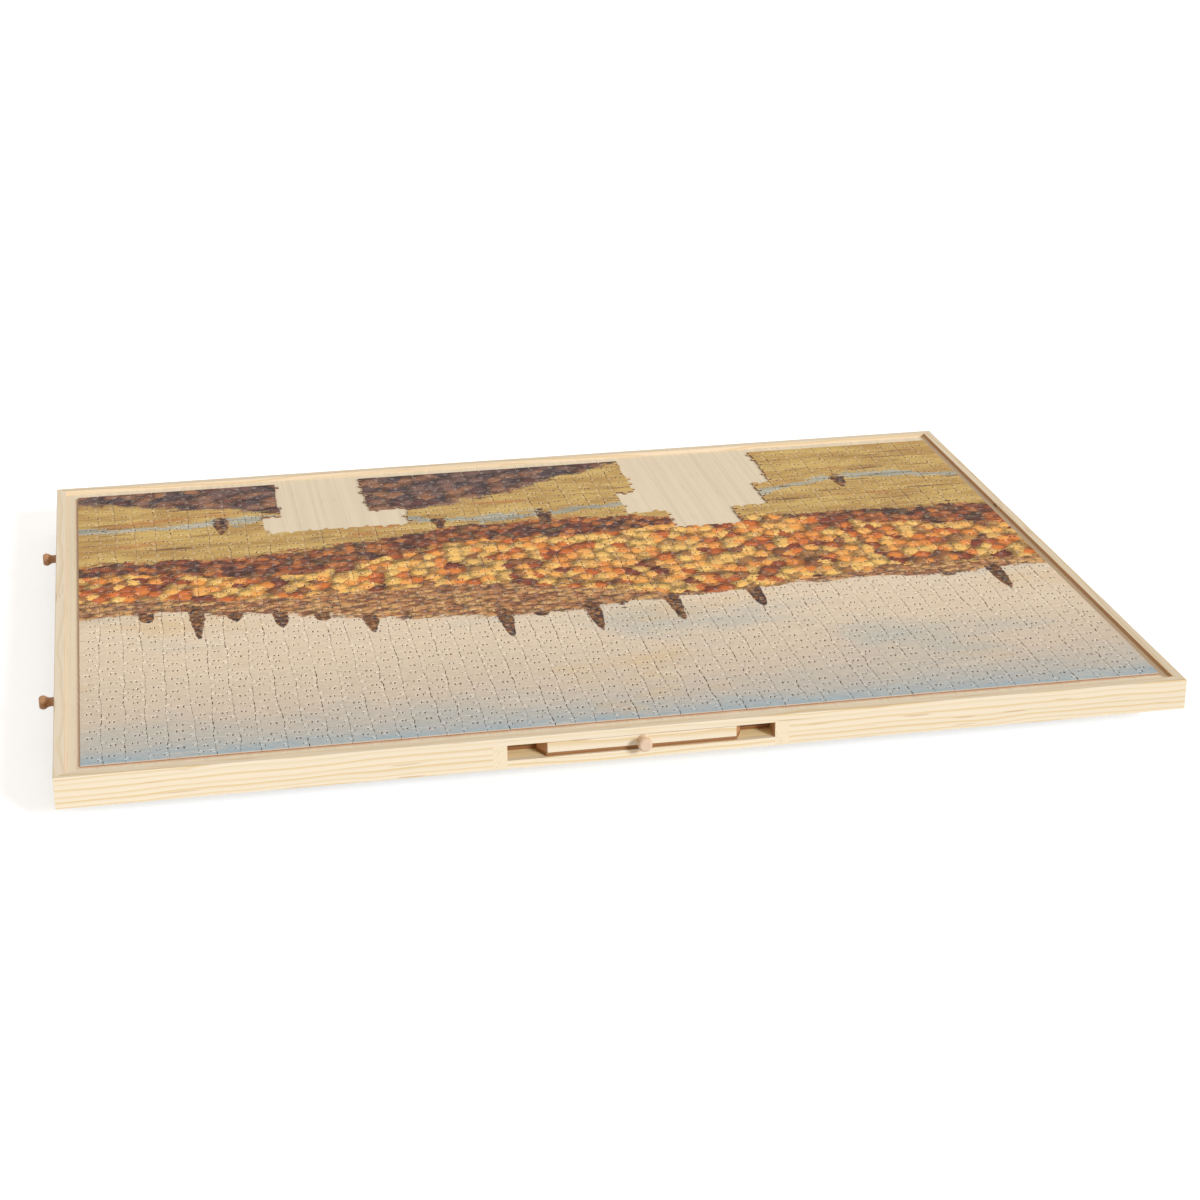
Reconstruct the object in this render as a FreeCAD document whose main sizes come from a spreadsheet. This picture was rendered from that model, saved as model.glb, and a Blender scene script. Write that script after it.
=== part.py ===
import FreeCAD, Part
import os
import Sketcher

# Rotating jigsaw puzzle board: a shallow pine tray with a plywood work panel, three drawers under
# the panel, and a ball bearing turntable on a round foot.  Millimetres, +Z up.  The origin is on
# the table, under the turntable's axis.  +X runs along the tray's long side, -Y is its front.

doc = FreeCAD.newDocument("PuzzleBoard")
Vector = FreeCAD.Vector

# Driving dimensions
DIMENSIONS = [
    ("boardLength", 1000.0, "tray, outside, left to right"),
    ("boardWidth", 745.0, "tray, outside, front to back"),
    ("trayHeight", 28.6, "tray, underside to rim"),
    ("stripThickness", 9.5, "pine strips of the frame"),
    ("edgeEase", 0.8, "rounding of the handled edges"),
    ("rimLip", 4.2, "rim above the work panel"),
    ("panelThickness", 2.4, "plywood work panel"),
    ("floorThickness", 4.0, "plywood floor panels"),
    ("sillHeight", 7.8, "tray underside to the floor that the drawers run on"),
    ("grooveDepth", 4.0, "panels let into strips and rails"),
    ("railWidth", 12.5, "pine rails, guides, stops and stiffeners"),
    ("frontSlotWidth", 237.0, "drawer slot in the front, between the rails"),
    ("sidePost", 38.0, "left strip's post between its two drawer slots"),
    ("frontDrawerDepth", 320.0, "front drawer, face to back"),
    ("drawerPlay", 0.5, "side, end and top play of a drawer"),
    ("slideGap", 0.4, "drawer bottom above the floor"),
    ("fingerGap", 35.0, "finger space on each side of a drawer face"),
    ("faceDepth", 20.0, "drawer face block, front to back"),
    ("splayDepth", 14.5, "length of the face block's splayed ends"),
    ("splay", 7.0, "how far each end splays outwards"),
    ("drawerFloor", 3.6, "plywood drawer bottom"),
    ("drawerFloorSetback", 1.5, "drawer bottom behind the face"),
    ("drawerWall", 8.0, "drawer wall behind the face block"),
    ("drawerSide", 6.5, "drawer sides and back"),
    ("wallTopGap", 1.0, "drawer sides below the work panel"),
    ("knobLength", 14.0, "knob, base to tip"),
    ("knobBase", 5.0, "radius of the knob's foot"),
    ("knobShoulder", 5.0, "radius where the neck meets the bulb"),
    ("knobNeckLength", 7.0, "foot to bulb"),
    ("knobTip", 4.6, "radius of the flat tip"),
    ("knobHollow", 0.95, "depth of the neck's hollow"),
    ("knobBulge", 1.6, "height of the bulb's roundness"),
    ("knobScrewShank", 1.75, "radius of the knob screw"),
    ("knobScrewBite", 8.0, "knob screw inside the knob"),
    ("screwHead", 3.75, "head radius of the screws"),
    ("screwHeadHeight", 2.2, "head height of the screws"),
    ("screwShank", 2.0, "shank radius of the plate and foot screws"),
    ("screwBite", 6.6, "plate and foot screws in the wood"),
    ("screwPlay", 0.15, "play of a screw in its clearance hole"),
    ("padMargin", 3.5, "bearing pad to the rails"),
    ("bearingPlate", 152.0, "square bearing plates"),
    ("plateThickness", 1.2, "steel of the bearing plates"),
    ("plateCorner", 8.0, "corner radius of the bearing plates"),
    ("plateScrewInset", 16.0, "plate screws from the plate's edges"),
    ("collarRadius", 44.0, "bore of the lower plate's collar"),
    ("collarPlay", 1.0, "upper plate's bore round the collar"),
    ("flangeReach", 4.6, "turned-over flange beyond the collar"),
    ("flangePlay", 1.2, "upper plate's step round the flange"),
    ("flangeGap", 0.4, "upper plate under the flange"),
    ("flangeTopGap", 0.3, "flange under the bearing pad"),
    ("ballRadius", 3.15, "bearing balls"),
    ("ballCount", 24.0, "bearing balls"),
    ("raceDepth", 0.4, "ball race in each plate"),
    ("racePlay", 0.05, "ball to race"),
    ("cageWidth", 12.0, "ball cage ring"),
    ("cageThickness", 1.0, "ball cage sheet"),
    ("cageGap", 1.8, "ball cage to the upper plate's step"),
    ("cagePlay", 0.1, "ball to cage"),
    ("baseRadius", 200.0, "round plywood foot"),
    ("baseThickness", 9.0, "round plywood foot"),
    ("baseEase", 2.0, "rounding of the foot's rim"),
    ("accessRadius", 8.0, "hole for reaching the upper plate's screws"),
    ("footHeight", 5.0, "rubber feet"),
    ("footRadius", 12.0, "rubber feet"),
    ("footInset", 20.0, "middle of a rubber foot to the rim of the round foot"),
    ("footRecess", 2.8, "recess for the foot screw's head"),
    ("footRecessPlay", 0.6, "recess round the foot screw's head"),
    ("plugRadius", 3.0, "plug of the middle foot"),
    ("plugLength", 6.0, "plug of the middle foot, inside the round foot"),
    ("puzzleColumns", 50.0, "pieces along X"),
    ("puzzleRows", 40.0, "pieces along Y"),
    ("puzzleThickness", 1.9, "puzzle cardboard"),
    ("puzzleGapLeft", 13.0, "puzzle to the frame"),
    ("puzzleGapRight", 6.7, "puzzle to the frame"),
    ("puzzleGapFront", 16.0, "puzzle to the frame"),
    ("puzzleGapBack", 17.0, "puzzle to the frame"),
]

sheet = doc.addObject("Spreadsheet::Sheet", "Dims")
for row, (alias, value, note) in enumerate(DIMENSIONS, start=1):
    sheet.set(f"A{row}", alias)
    sheet.set(f"B{row}", str(value))
    sheet.set(f"C{row}", note)
    sheet.setAlias(f"B{row}", alias)
doc.recompute()

# Places worked out from the driving dimensions, as expressions in the tray's own frame,
# whose origin is in the middle of the tray's underside
BEARING_Z = "(Dims.footHeight + Dims.baseThickness)"
RACE_Z = "(Dims.plateThickness + Dims.ballRadius + Dims.racePlay - Dims.raceDepth)"
BEARING_HEIGHT = f"(2 * {RACE_Z})"
TRAY_Z = f"({BEARING_Z} + {BEARING_HEIGHT})"
HALF_LENGTH = "(Dims.boardLength / 2)"
HALF_WIDTH = "(Dims.boardWidth / 2)"
INNER_X = f"({HALF_LENGTH} - Dims.stripThickness)"
INNER_Y = f"({HALF_WIDTH} - Dims.stripThickness)"
PANEL_TOP = "(Dims.trayHeight - Dims.rimLip)"
SLOT_TOP = f"({PANEL_TOP} - Dims.panelThickness)"
SLOT_HEIGHT = f"({SLOT_TOP} - Dims.sillHeight)"
FLOOR_UNDER = "(Dims.sillHeight - Dims.floorThickness)"
HALF_SLOT = "(Dims.frontSlotWidth / 2)"
RAIL_OUTER = f"({HALF_SLOT} + Dims.railWidth)"
SIDE_SLOT = f"({INNER_Y} - Dims.railWidth - Dims.sidePost / 2)"
SIDE_SLOT_Y = f"({INNER_Y} - Dims.railWidth - {SIDE_SLOT} / 2)"
SIDE_DRAWER_DEPTH = f"({HALF_LENGTH} - {RAIL_OUTER} - Dims.railWidth - Dims.drawerPlay)"
UPPER_PLATE_Z = f"({BEARING_HEIGHT} - Dims.plateThickness)"
PLATE_SCREW = "(Dims.bearingPlate / 2 - Dims.plateScrewInset)"
PLATE_SCREW_CIRCLE = f"({PLATE_SCREW} * sqrt(2))"
COLLAR_OUTER = "(Dims.collarRadius + Dims.plateThickness)"
STEP_INNER = f"({COLLAR_OUTER} + Dims.flangeReach + Dims.flangePlay)"
STEP_OUTER = f"({STEP_INNER} + Dims.plateThickness)"
RACE_RADIUS = f"({STEP_OUTER} + Dims.cageGap + Dims.cageWidth / 2)"
PANEL_HALF_X = f"({INNER_X} + Dims.grooveDepth)"
PANEL_HALF_Y = f"({INNER_Y} + Dims.grooveDepth)"

TRAY_FRAME = ("0", "0", TRAY_Z)
BEARING_FRAME = ("0", "0", BEARING_Z)
TABLE_FRAME = ("0", "0", "0")

NODES = []


def new_body(label, frame, turn=0.0):
    """A sub-part in its own frame: placed at three expressions and turned about Z."""
    body = doc.addObject("PartDesign::Body", label)
    body.Label = label
    body.Placement = FreeCAD.Placement(Vector(), FreeCAD.Rotation(Vector(0, 0, 1), turn))
    for axis, value in zip("xyz", frame):
        body.setExpression(f"Placement.Base.{axis}", value)
    NODES.append(body)
    return body


def new_sketch(body, name, plane, offset):
    """A sketch on one of the body's own planes, moved by three expressions."""
    sketch = body.newObject("Sketcher::SketchObject", name)
    support = [part for part in body.Origin.OriginFeatures if part.Role == plane][0]
    sketch.AttachmentSupport = [(support, "")]
    sketch.MapMode = "FlatFace"
    for axis, value in zip("xyz", offset):
        sketch.setExpression(f"AttachmentOffset.Base.{axis}", value)
    return sketch


def bind(sketch, name, constraint, expression):
    """A named constraint that follows an expression."""
    index = sketch.addConstraint(constraint)
    sketch.renameConstraint(index, name)
    sketch.setExpression(f"Constraints.{name}", expression)


def closed_outline(sketch, points):
    """Straight lines through the points, joined end to end and back to the start."""
    count = len(points)
    for index in range(count):
        start = Vector(*points[index])
        end = Vector(*points[(index + 1) % count])
        sketch.addGeometry(Part.LineSegment(start, end), False)
    for index in range(count):
        sketch.addConstraint(Sketcher.Constraint("Coincident", index, 2, (index + 1) % count, 1))


def rectangle(body, name, corner, length, width):
    """A rectangle whose low corner is at the offset."""
    sketch = new_sketch(body, name, "XY_Plane", corner)
    closed_outline(sketch, [(0, 0, 0), (20, 0, 0), (20, 10, 0), (0, 10, 0)])
    for index, direction in enumerate(("Horizontal", "Vertical", "Horizontal", "Vertical")):
        sketch.addConstraint(Sketcher.Constraint(direction, index))
    sketch.addConstraint(Sketcher.Constraint("Coincident", 0, 1, -1, 1))
    bind(sketch, "length", Sketcher.Constraint("DistanceX", 0, 1, 0, 2, 20), length)
    bind(sketch, "width", Sketcher.Constraint("DistanceY", 1, 1, 1, 2, 10), width)
    return sketch


def rod(body, name, base, radius, length):
    """A round bar along Z from the middle of its lower end."""
    return pad(body, name, circle(body, f"{name}Outline", base, radius), length)


def circle(body, name, centre, radius):
    """A circle about the offset."""
    sketch = new_sketch(body, name, "XY_Plane", centre)
    sketch.addGeometry(Part.Circle(Vector(), Vector(0, 0, 1), 5), False)
    sketch.addConstraint(Sketcher.Constraint("Coincident", 0, 3, -1, 1))
    bind(sketch, "radius", Sketcher.Constraint("Radius", 0, 5), radius)
    return sketch


def pad(body, name, sketch, height):
    """The sketch raised by a height."""
    feature = body.newObject("PartDesign::Pad", name)
    feature.Profile = sketch
    feature.setExpression("Length", height)
    return feature


def pocket(body, name, sketch, depth):
    """The sketch cut downwards by a depth."""
    feature = body.newObject("PartDesign::Pocket", name)
    feature.Profile = sketch
    feature.setExpression("Length", depth)
    return feature


def block(body, name, corner, size):
    """A rectangular block from its low corner."""
    length, width, height = size
    return pad(body, name, rectangle(body, f"{name}Outline", corner, length, width), height)


def cut_block(body, name, corner, size):
    """A rectangular cut, given by its low corner like a block."""
    length, width, height = size
    left, front, low = corner
    outline = rectangle(body, f"{name}Outline", (left, front, f"{low} + {height}"), length, width)
    return pocket(body, name, outline, height)


def bore(body, name, centre, radius, height):
    """A round hole along Z that starts at its centre and runs up by a height."""
    left, front, low = centre
    outline = circle(body, f"{name}Outline", (left, front, f"{low} + {height}"), radius)
    return pocket(body, name, outline, height)


def turned(body, name, sketch, kind="PartDesign::Revolution"):
    """A profile turned about its own vertical axis."""
    feature = body.newObject(kind, name)
    feature.Profile = sketch
    feature.ReferenceAxis = (sketch, ["V_Axis"])
    feature.Angle = 360.0
    return feature


def round_pattern(body, name, feature, count):
    """Copies of a feature evenly about the body's Z axis."""
    axis = [part for part in body.Origin.OriginFeatures if part.Role == "Z_Axis"][0]
    pattern = body.newObject("PartDesign::PolarPattern", name)
    pattern.Originals = [feature]
    pattern.Axis = (axis, [""])
    pattern.Angle = 360.0
    pattern.setExpression("Occurrences", count)
    body.Tip = pattern
    return pattern


def ease_edges(body, name, feature, test):
    """Rounds each edge of a feature whose two ends pass the test."""
    doc.recompute()
    chosen = []
    for index, edge in enumerate(feature.Shape.Edges, start=1):
        if all(test(vertex.Point) for vertex in edge.Vertexes):
            chosen.append(f"Edge{index}")
    rounding = body.newObject("PartDesign::Fillet", name)
    rounding.Base = (feature, chosen)
    rounding.setExpression("Radius", "Dims.edgeEase")
    return rounding


def stepped_profile(body, name, plane, offset, steps):
    """A closed profile against the axis: its corners' radii and heights are expressions."""
    sketch = new_sketch(body, name, plane, offset)
    radii = [sheet_value(radius) for radius, height in steps]
    heights = [sheet_value(height) for radius, height in steps]
    closed_outline(sketch, [(x, y, 0) for x, y in zip(radii, heights)])
    for index, (radius, height) in enumerate(steps):
        place_point(sketch, index, f"corner{index}", radius, height)
    return sketch


def place_point(sketch, index, name, across, up):
    """Fixes the start of a line at two expressions; a zero lies on an axis of the sketch."""
    if across == "0":
        sketch.addConstraint(Sketcher.Constraint("PointOnObject", index, 1, -2))
    else:
        constraint = Sketcher.Constraint("DistanceX", -1, 1, index, 1, sheet_value(across))
        bind(sketch, f"{name}Across", constraint, across)
    if up == "0":
        sketch.addConstraint(Sketcher.Constraint("PointOnObject", index, 1, -1))
    else:
        constraint = Sketcher.Constraint("DistanceY", -1, 1, index, 1, sheet_value(up))
        bind(sketch, f"{name}Up", constraint, up)


def sheet_value(expression):
    """The number that an expression has with the sheet as it stands."""
    return float(sheet.evalExpression(expression))


def on_height(height):
    """A test for points that lie at a height."""
    return lambda point: abs(point.z - height) < 1e-4


# The frame: four mitred pine strips, grooved inside for the work panel and the floor panels
def frame_strip(label, turn, outer, inner):
    """A mitred strip along X, its outer face at the local -Y side, turned into place."""
    body = new_body(label, TRAY_FRAME, turn)
    half = f"({outer} - Dims.stripThickness)"
    sketch = new_sketch(body, "StripOutline", "XY_Plane", ("0", f"-{inner}", "0"))
    reach = sheet_value(outer)
    wall = sheet_value("Dims.stripThickness")
    closed_outline(sketch, [(-reach, 0, 0), (reach, 0, 0), (reach - wall, wall, 0), (wall - reach, wall, 0)])
    sketch.addConstraint(Sketcher.Constraint("Horizontal", 0))
    sketch.addConstraint(Sketcher.Constraint("Horizontal", 2))
    sketch.addConstraint(Sketcher.Constraint("PointOnObject", 0, 1, -1))
    bind(sketch, "outerLeft", Sketcher.Constraint("DistanceX", 0, 1, -1, 1, reach), outer)
    bind(sketch, "outerRight", Sketcher.Constraint("DistanceX", -1, 1, 0, 2, reach), outer)
    bind(sketch, "innerRight", Sketcher.Constraint("DistanceX", -1, 1, 2, 1, reach - wall), half)
    bind(sketch, "innerLeft", Sketcher.Constraint("DistanceX", 2, 2, -1, 1, reach - wall), half)
    bind(sketch, "wall", Sketcher.Constraint("DistanceY", 0, 2, 1, 2, wall), "Dims.stripThickness")
    strip = pad(body, "Strip", sketch, "Dims.trayHeight")
    top = on_height(sheet_value("Dims.trayHeight"))
    ease_edges(body, "Eased", strip, lambda point: top(point) and abs(point.y + sheet_value(inner)) < 1e-4)
    groove_y = f"-{inner} + Dims.stripThickness - Dims.grooveDepth"
    groove = (f"2 * {outer}", "Dims.grooveDepth")
    cut_block(body, "PanelGroove", (f"-{outer}", groove_y, SLOT_TOP), groove + ("Dims.panelThickness",))
    cut_block(body, "FloorGroove", (f"-{outer}", groove_y, FLOOR_UNDER), groove + ("Dims.floorThickness",))
    return body


frame_front = frame_strip("frame_front", 0.0, HALF_LENGTH, HALF_WIDTH)
cut_block(
    frame_front,
    "SlotNotch",
    (f"-{RAIL_OUTER}", f"-{HALF_WIDTH}", "0"),
    (f"2 * {RAIL_OUTER}", "Dims.stripThickness", SLOT_TOP),
)
frame_strip("frame_right", 90.0, HALF_WIDTH, HALF_LENGTH)
frame_strip("frame_back", 180.0, HALF_LENGTH, HALF_WIDTH)
frame_left = frame_strip("frame_left", -90.0, HALF_WIDTH, HALF_LENGTH)
for name, middle in (("FrontSlot", SIDE_SLOT_Y), ("BackSlot", f"-{SIDE_SLOT_Y}")):
    cut_block(
        frame_left,
        name,
        (f"{middle} - {SIDE_SLOT} / 2", f"-{HALF_LENGTH}", "Dims.sillHeight"),
        (SIDE_SLOT, "Dims.stripThickness", SLOT_HEIGHT),
    )

# The rails run from the front face to the back strip and carry the panels' inner edges
for label, side in (("guide_rail_left", -1), ("guide_rail_right", 1)):
    rail = new_body(label, TRAY_FRAME)
    left = f"-{RAIL_OUTER}" if side < 0 else HALF_SLOT
    outer_groove = left if side < 0 else f"{RAIL_OUTER} - Dims.grooveDepth"
    inner_groove = f"-{HALF_SLOT} - Dims.grooveDepth" if side < 0 else HALF_SLOT
    rail_length = f"{HALF_WIDTH} + {INNER_Y}"
    block(rail, "Rail", (left, f"-{HALF_WIDTH}", "0"), ("Dims.railWidth", rail_length, SLOT_TOP))
    groove_start = f"-{INNER_Y} - Dims.grooveDepth"
    groove_size = ("Dims.grooveDepth", f"2 * {INNER_Y} + Dims.grooveDepth", "Dims.floorThickness")
    cut_block(rail, "OuterGroove", (outer_groove, groove_start, FLOOR_UNDER), groove_size)
    cut_block(rail, "InnerGroove", (inner_groove, groove_start, FLOOR_UNDER), groove_size)

# The sill closes the front slot from below, with a rebate for the middle floor
front_sill = new_body("front_sill", TRAY_FRAME)
sill_size = ("Dims.frontSlotWidth", "Dims.stripThickness", "Dims.sillHeight")
block(front_sill, "Sill", (f"-{HALF_SLOT}", f"-{HALF_WIDTH}", "0"), sill_size)
cut_block(
    front_sill,
    "Rebate",
    (f"-{HALF_SLOT}", f"-{PANEL_HALF_Y}", FLOOR_UNDER),
    ("Dims.frontSlotWidth", "Dims.grooveDepth", "Dims.floorThickness"),
)

# Floor panels in the three bays
bay_inner = f"({RAIL_OUTER} - Dims.grooveDepth)"
bay_size = (f"{PANEL_HALF_X} - {bay_inner}", f"2 * {PANEL_HALF_Y}", "Dims.floorThickness")
bottom_left = new_body("bottom_left", TRAY_FRAME)
block(bottom_left, "Floor", (f"-{PANEL_HALF_X}", f"-{PANEL_HALF_Y}", FLOOR_UNDER), bay_size)
bottom_right = new_body("bottom_right", TRAY_FRAME)
block(bottom_right, "Floor", (bay_inner, f"-{PANEL_HALF_Y}", FLOOR_UNDER), bay_size)
middle_half = f"({HALF_SLOT} + Dims.grooveDepth)"
bottom_middle = new_body("bottom_middle", TRAY_FRAME)
middle_size = (f"2 * {middle_half}", f"2 * {PANEL_HALF_Y}", "Dims.floorThickness")
block(bottom_middle, "Floor", (f"-{middle_half}", f"-{PANEL_HALF_Y}", FLOOR_UNDER), middle_size)

# Guides between the left drawers' slots and the left rail
guide_inner = f"({SIDE_SLOT_Y} - {SIDE_SLOT} / 2 - Dims.railWidth)"
guide_outer = f"({SIDE_SLOT_Y} + {SIDE_SLOT} / 2)"
GUIDES = (
    ("guide_front_outer", f"-{guide_outer} - Dims.railWidth"),
    ("guide_front_inner", f"-{guide_inner} - Dims.railWidth"),
    ("guide_back_inner", guide_inner),
    ("guide_back_outer", guide_outer),
)
guide_length = f"{INNER_X} - {RAIL_OUTER}"
for label, front in GUIDES:
    guide = new_body(label, TRAY_FRAME)
    guide_size = (guide_length, "Dims.railWidth", SLOT_HEIGHT)
    block(guide, "Guide", (f"-{INNER_X}", front, "Dims.sillHeight"), guide_size)

# Stiffeners hold up the work panel over the empty right bay
for label, side in (("stiffener_front", "-"), ("stiffener_back", "")):
    stiffener = new_body(label, TRAY_FRAME)
    place = (RAIL_OUTER, f"{side}{INNER_Y} / 3 - Dims.railWidth / 2", "Dims.sillHeight")
    block(stiffener, "Stiffener", place, (guide_length, "Dims.railWidth", SLOT_HEIGHT))

# Stops behind the closed drawers
for label, middle in (("left_front_stop", f"-{SIDE_SLOT_Y}"), ("left_back_stop", SIDE_SLOT_Y)):
    stop = new_body(label, TRAY_FRAME)
    place = (f"-{RAIL_OUTER} - Dims.railWidth", f"{middle} - {SIDE_SLOT} / 2", "Dims.sillHeight")
    block(stop, "Stop", place, ("Dims.railWidth", SIDE_SLOT, SLOT_HEIGHT))
front_stop = new_body("front_stop", TRAY_FRAME)
front_stop_y = f"-{HALF_WIDTH} + Dims.frontDrawerDepth + Dims.drawerPlay"
front_stop_size = ("Dims.frontSlotWidth", "Dims.railWidth", SLOT_HEIGHT)
block(front_stop, "Stop", (f"-{HALF_SLOT}", front_stop_y, "Dims.sillHeight"), front_stop_size)

# The work panel lies in the strips' upper groove
work_panel = new_body("work_panel", TRAY_FRAME)
panel_size = (f"2 * {PANEL_HALF_X}", f"2 * {PANEL_HALF_Y}", "Dims.panelThickness")
block(work_panel, "Panel", (f"-{PANEL_HALF_X}", f"-{PANEL_HALF_Y}", SLOT_TOP), panel_size)

# The laid puzzle: one sheet of cardboard, with two unfinished patches at the back edge.
# Each patch is a run of columns and rows that are still empty, rows counted from the back.
EMPTY_CELLS = (
    ("LeftGapBack", 11, 5, 0, 6),
    ("LeftGapFront", 10, 8, 6, 3),
    ("RightGapBack", 31, 8, 0, 6),
    ("RightGapMiddle", 30, 8, 6, 4),
    ("RightGapFront", 32, 4, 10, 3),
)
jigsaw_puzzle = new_body("jigsaw_puzzle", TRAY_FRAME)
puzzle_left = f"(Dims.puzzleGapLeft - {INNER_X})"
puzzle_front = f"(Dims.puzzleGapFront - {INNER_Y})"
puzzle_length = f"({INNER_X} - Dims.puzzleGapRight - {puzzle_left})"
puzzle_width = f"({INNER_Y} - Dims.puzzleGapBack - {puzzle_front})"
piece_width = f"({puzzle_length} / Dims.puzzleColumns)"
piece_depth = f"({puzzle_width} / Dims.puzzleRows)"
puzzle_size = (puzzle_length, puzzle_width, "Dims.puzzleThickness")
block(jigsaw_puzzle, "Laid", (puzzle_left, puzzle_front, PANEL_TOP), puzzle_size)
for name, column, columns, cell_row, rows in EMPTY_CELLS:
    left = f"{puzzle_left} + {column} * {piece_width}"
    front = f"{puzzle_front} + (Dims.puzzleRows - {cell_row + rows}) * {piece_depth}"
    size = (f"{columns} * {piece_width}", f"{rows} * {piece_depth}", "Dims.puzzleThickness")
    cut_block(jigsaw_puzzle, name, (left, front, PANEL_TOP), size)


# Drawers.  Each is drawn in its own frame: X across the slot, Y into the tray, the origin in
# the middle of the slot's lower edge on the tray's outer face.
def drawer(name, frame, turn, slot_width, depth):
    """The eight pieces of one drawer."""
    half_face = f"({slot_width} / 2 - Dims.fingerGap)"
    half_block = f"({half_face} + Dims.splay)"
    half_box = f"({slot_width} / 2 - Dims.drawerPlay)"
    floor_top = "(Dims.slideGap + Dims.drawerFloor)"
    face_height = f"({SLOT_HEIGHT} - {floor_top} - Dims.drawerPlay)"
    wall_height = f"({SLOT_HEIGHT} - {floor_top} - Dims.wallTopGap)"
    knob_z = f"({floor_top} + {face_height} / 2)"
    back_y = f"({depth} - Dims.drawerSide)"
    wall_back = "(Dims.faceDepth + Dims.drawerWall)"

    face = new_body(f"{name}_face", frame, turn)
    outline = face_outline(face, "FaceOutline", floor_top, half_face, half_block)
    face_pad = pad(face, "Face", outline, face_height)
    ease_edges(face, "Eased", face_pad, lambda point: abs(point.y) < 1e-4)
    screw_hole(face, "ScrewHole", knob_z, "0", "Dims.faceDepth")

    wall = new_body(f"{name}_wall", frame, turn)
    wall_size = (f"2 * {half_box}", "Dims.drawerWall", wall_height)
    block(wall, "Wall", (f"-{half_box}", "Dims.faceDepth", floor_top), wall_size)
    screw_hole(wall, "ScrewHole", knob_z, "Dims.faceDepth", "Dims.drawerWall")

    side_size = ("Dims.drawerSide", f"{back_y} - {wall_back}", wall_height)
    for end, left in (("left", f"-{half_box}"), ("right", f"{half_box} - Dims.drawerSide")):
        side = new_body(f"{name}_side_{end}", frame, turn)
        block(side, "Side", (left, wall_back, floor_top), side_size)

    back = new_body(f"{name}_back", frame, turn)
    back_size = (f"2 * {half_box}", "Dims.drawerSide", wall_height)
    block(back, "Back", (f"-{half_box}", back_y, floor_top), back_size)

    bottom = new_body(f"{name}_bottom", frame, turn)
    bottom_size = (f"2 * {half_box}", f"{depth} - Dims.faceDepth", "Dims.drawerFloor")
    block(bottom, "Panel", (f"-{half_box}", "Dims.faceDepth", "Dims.slideGap"), bottom_size)
    tongue = face_outline(bottom, "TongueOutline", "Dims.slideGap", half_face, half_block)
    pad(bottom, "Tongue", tongue, "Dims.drawerFloor")
    setback_corner = (f"-{half_box}", "0", "Dims.slideGap")
    setback_size = (f"2 * {half_box}", "Dims.drawerFloorSetback", "Dims.drawerFloor")
    cut_block(bottom, "Setback", setback_corner, setback_size)

    knob(name, frame, turn, knob_z)
    knob_screw(name, frame, turn, knob_z, wall_back)


def face_outline(body, name, low, half_face, half_block):
    """The face block from above: a narrow front, splayed ends and a straight root."""
    sketch = new_sketch(body, name, "XY_Plane", ("0", "0", low))
    front = sheet_value(half_face)
    root = sheet_value(half_block)
    splay_y = sheet_value("Dims.splayDepth")
    back_y = sheet_value("Dims.faceDepth")
    right_side = [(front, 0, 0), (root, splay_y, 0), (root, back_y, 0)]
    left_side = [(-x, y, z) for x, y, z in reversed(right_side)]
    closed_outline(sketch, left_side[-1:] + right_side + left_side[:-1])
    sketch.addConstraint(Sketcher.Constraint("Vertical", 2))
    sketch.addConstraint(Sketcher.Constraint("Vertical", 4))
    sketch.addConstraint(Sketcher.Constraint("PointOnObject", 0, 1, -1))
    sketch.addConstraint(Sketcher.Constraint("Symmetric", 0, 1, 0, 2, -1, 1))
    sketch.addConstraint(Sketcher.Constraint("Symmetric", 3, 1, 3, 2, -2))
    sketch.addConstraint(Sketcher.Constraint("Equal", 1, 5))
    bind(sketch, "halfFace", Sketcher.Constraint("DistanceX", -1, 1, 0, 2, front), half_face)
    bind(sketch, "halfRoot", Sketcher.Constraint("DistanceX", -1, 1, 2, 1, root), half_block)
    bind(sketch, "splayed", Sketcher.Constraint("DistanceY", -1, 1, 2, 1, splay_y), "Dims.splayDepth")
    bind(sketch, "depth", Sketcher.Constraint("DistanceY", -1, 1, 3, 1, back_y), "Dims.faceDepth")
    return sketch


def screw_hole(body, name, height, start, length):
    """The knob screw's hole through a wall, along Y."""
    sketch = new_sketch(body, f"{name}Outline", "XZ_Plane", ("0", height, f"-({start})"))
    sketch.addGeometry(Part.Circle(Vector(), Vector(0, 0, 1), 2), False)
    sketch.addConstraint(Sketcher.Constraint("Coincident", 0, 3, -1, 1))
    bind(sketch, "radius", Sketcher.Constraint("Radius", 0, 2), "Dims.knobScrewShank + Dims.screwPlay")
    return pocket(body, name, sketch, length)


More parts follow.
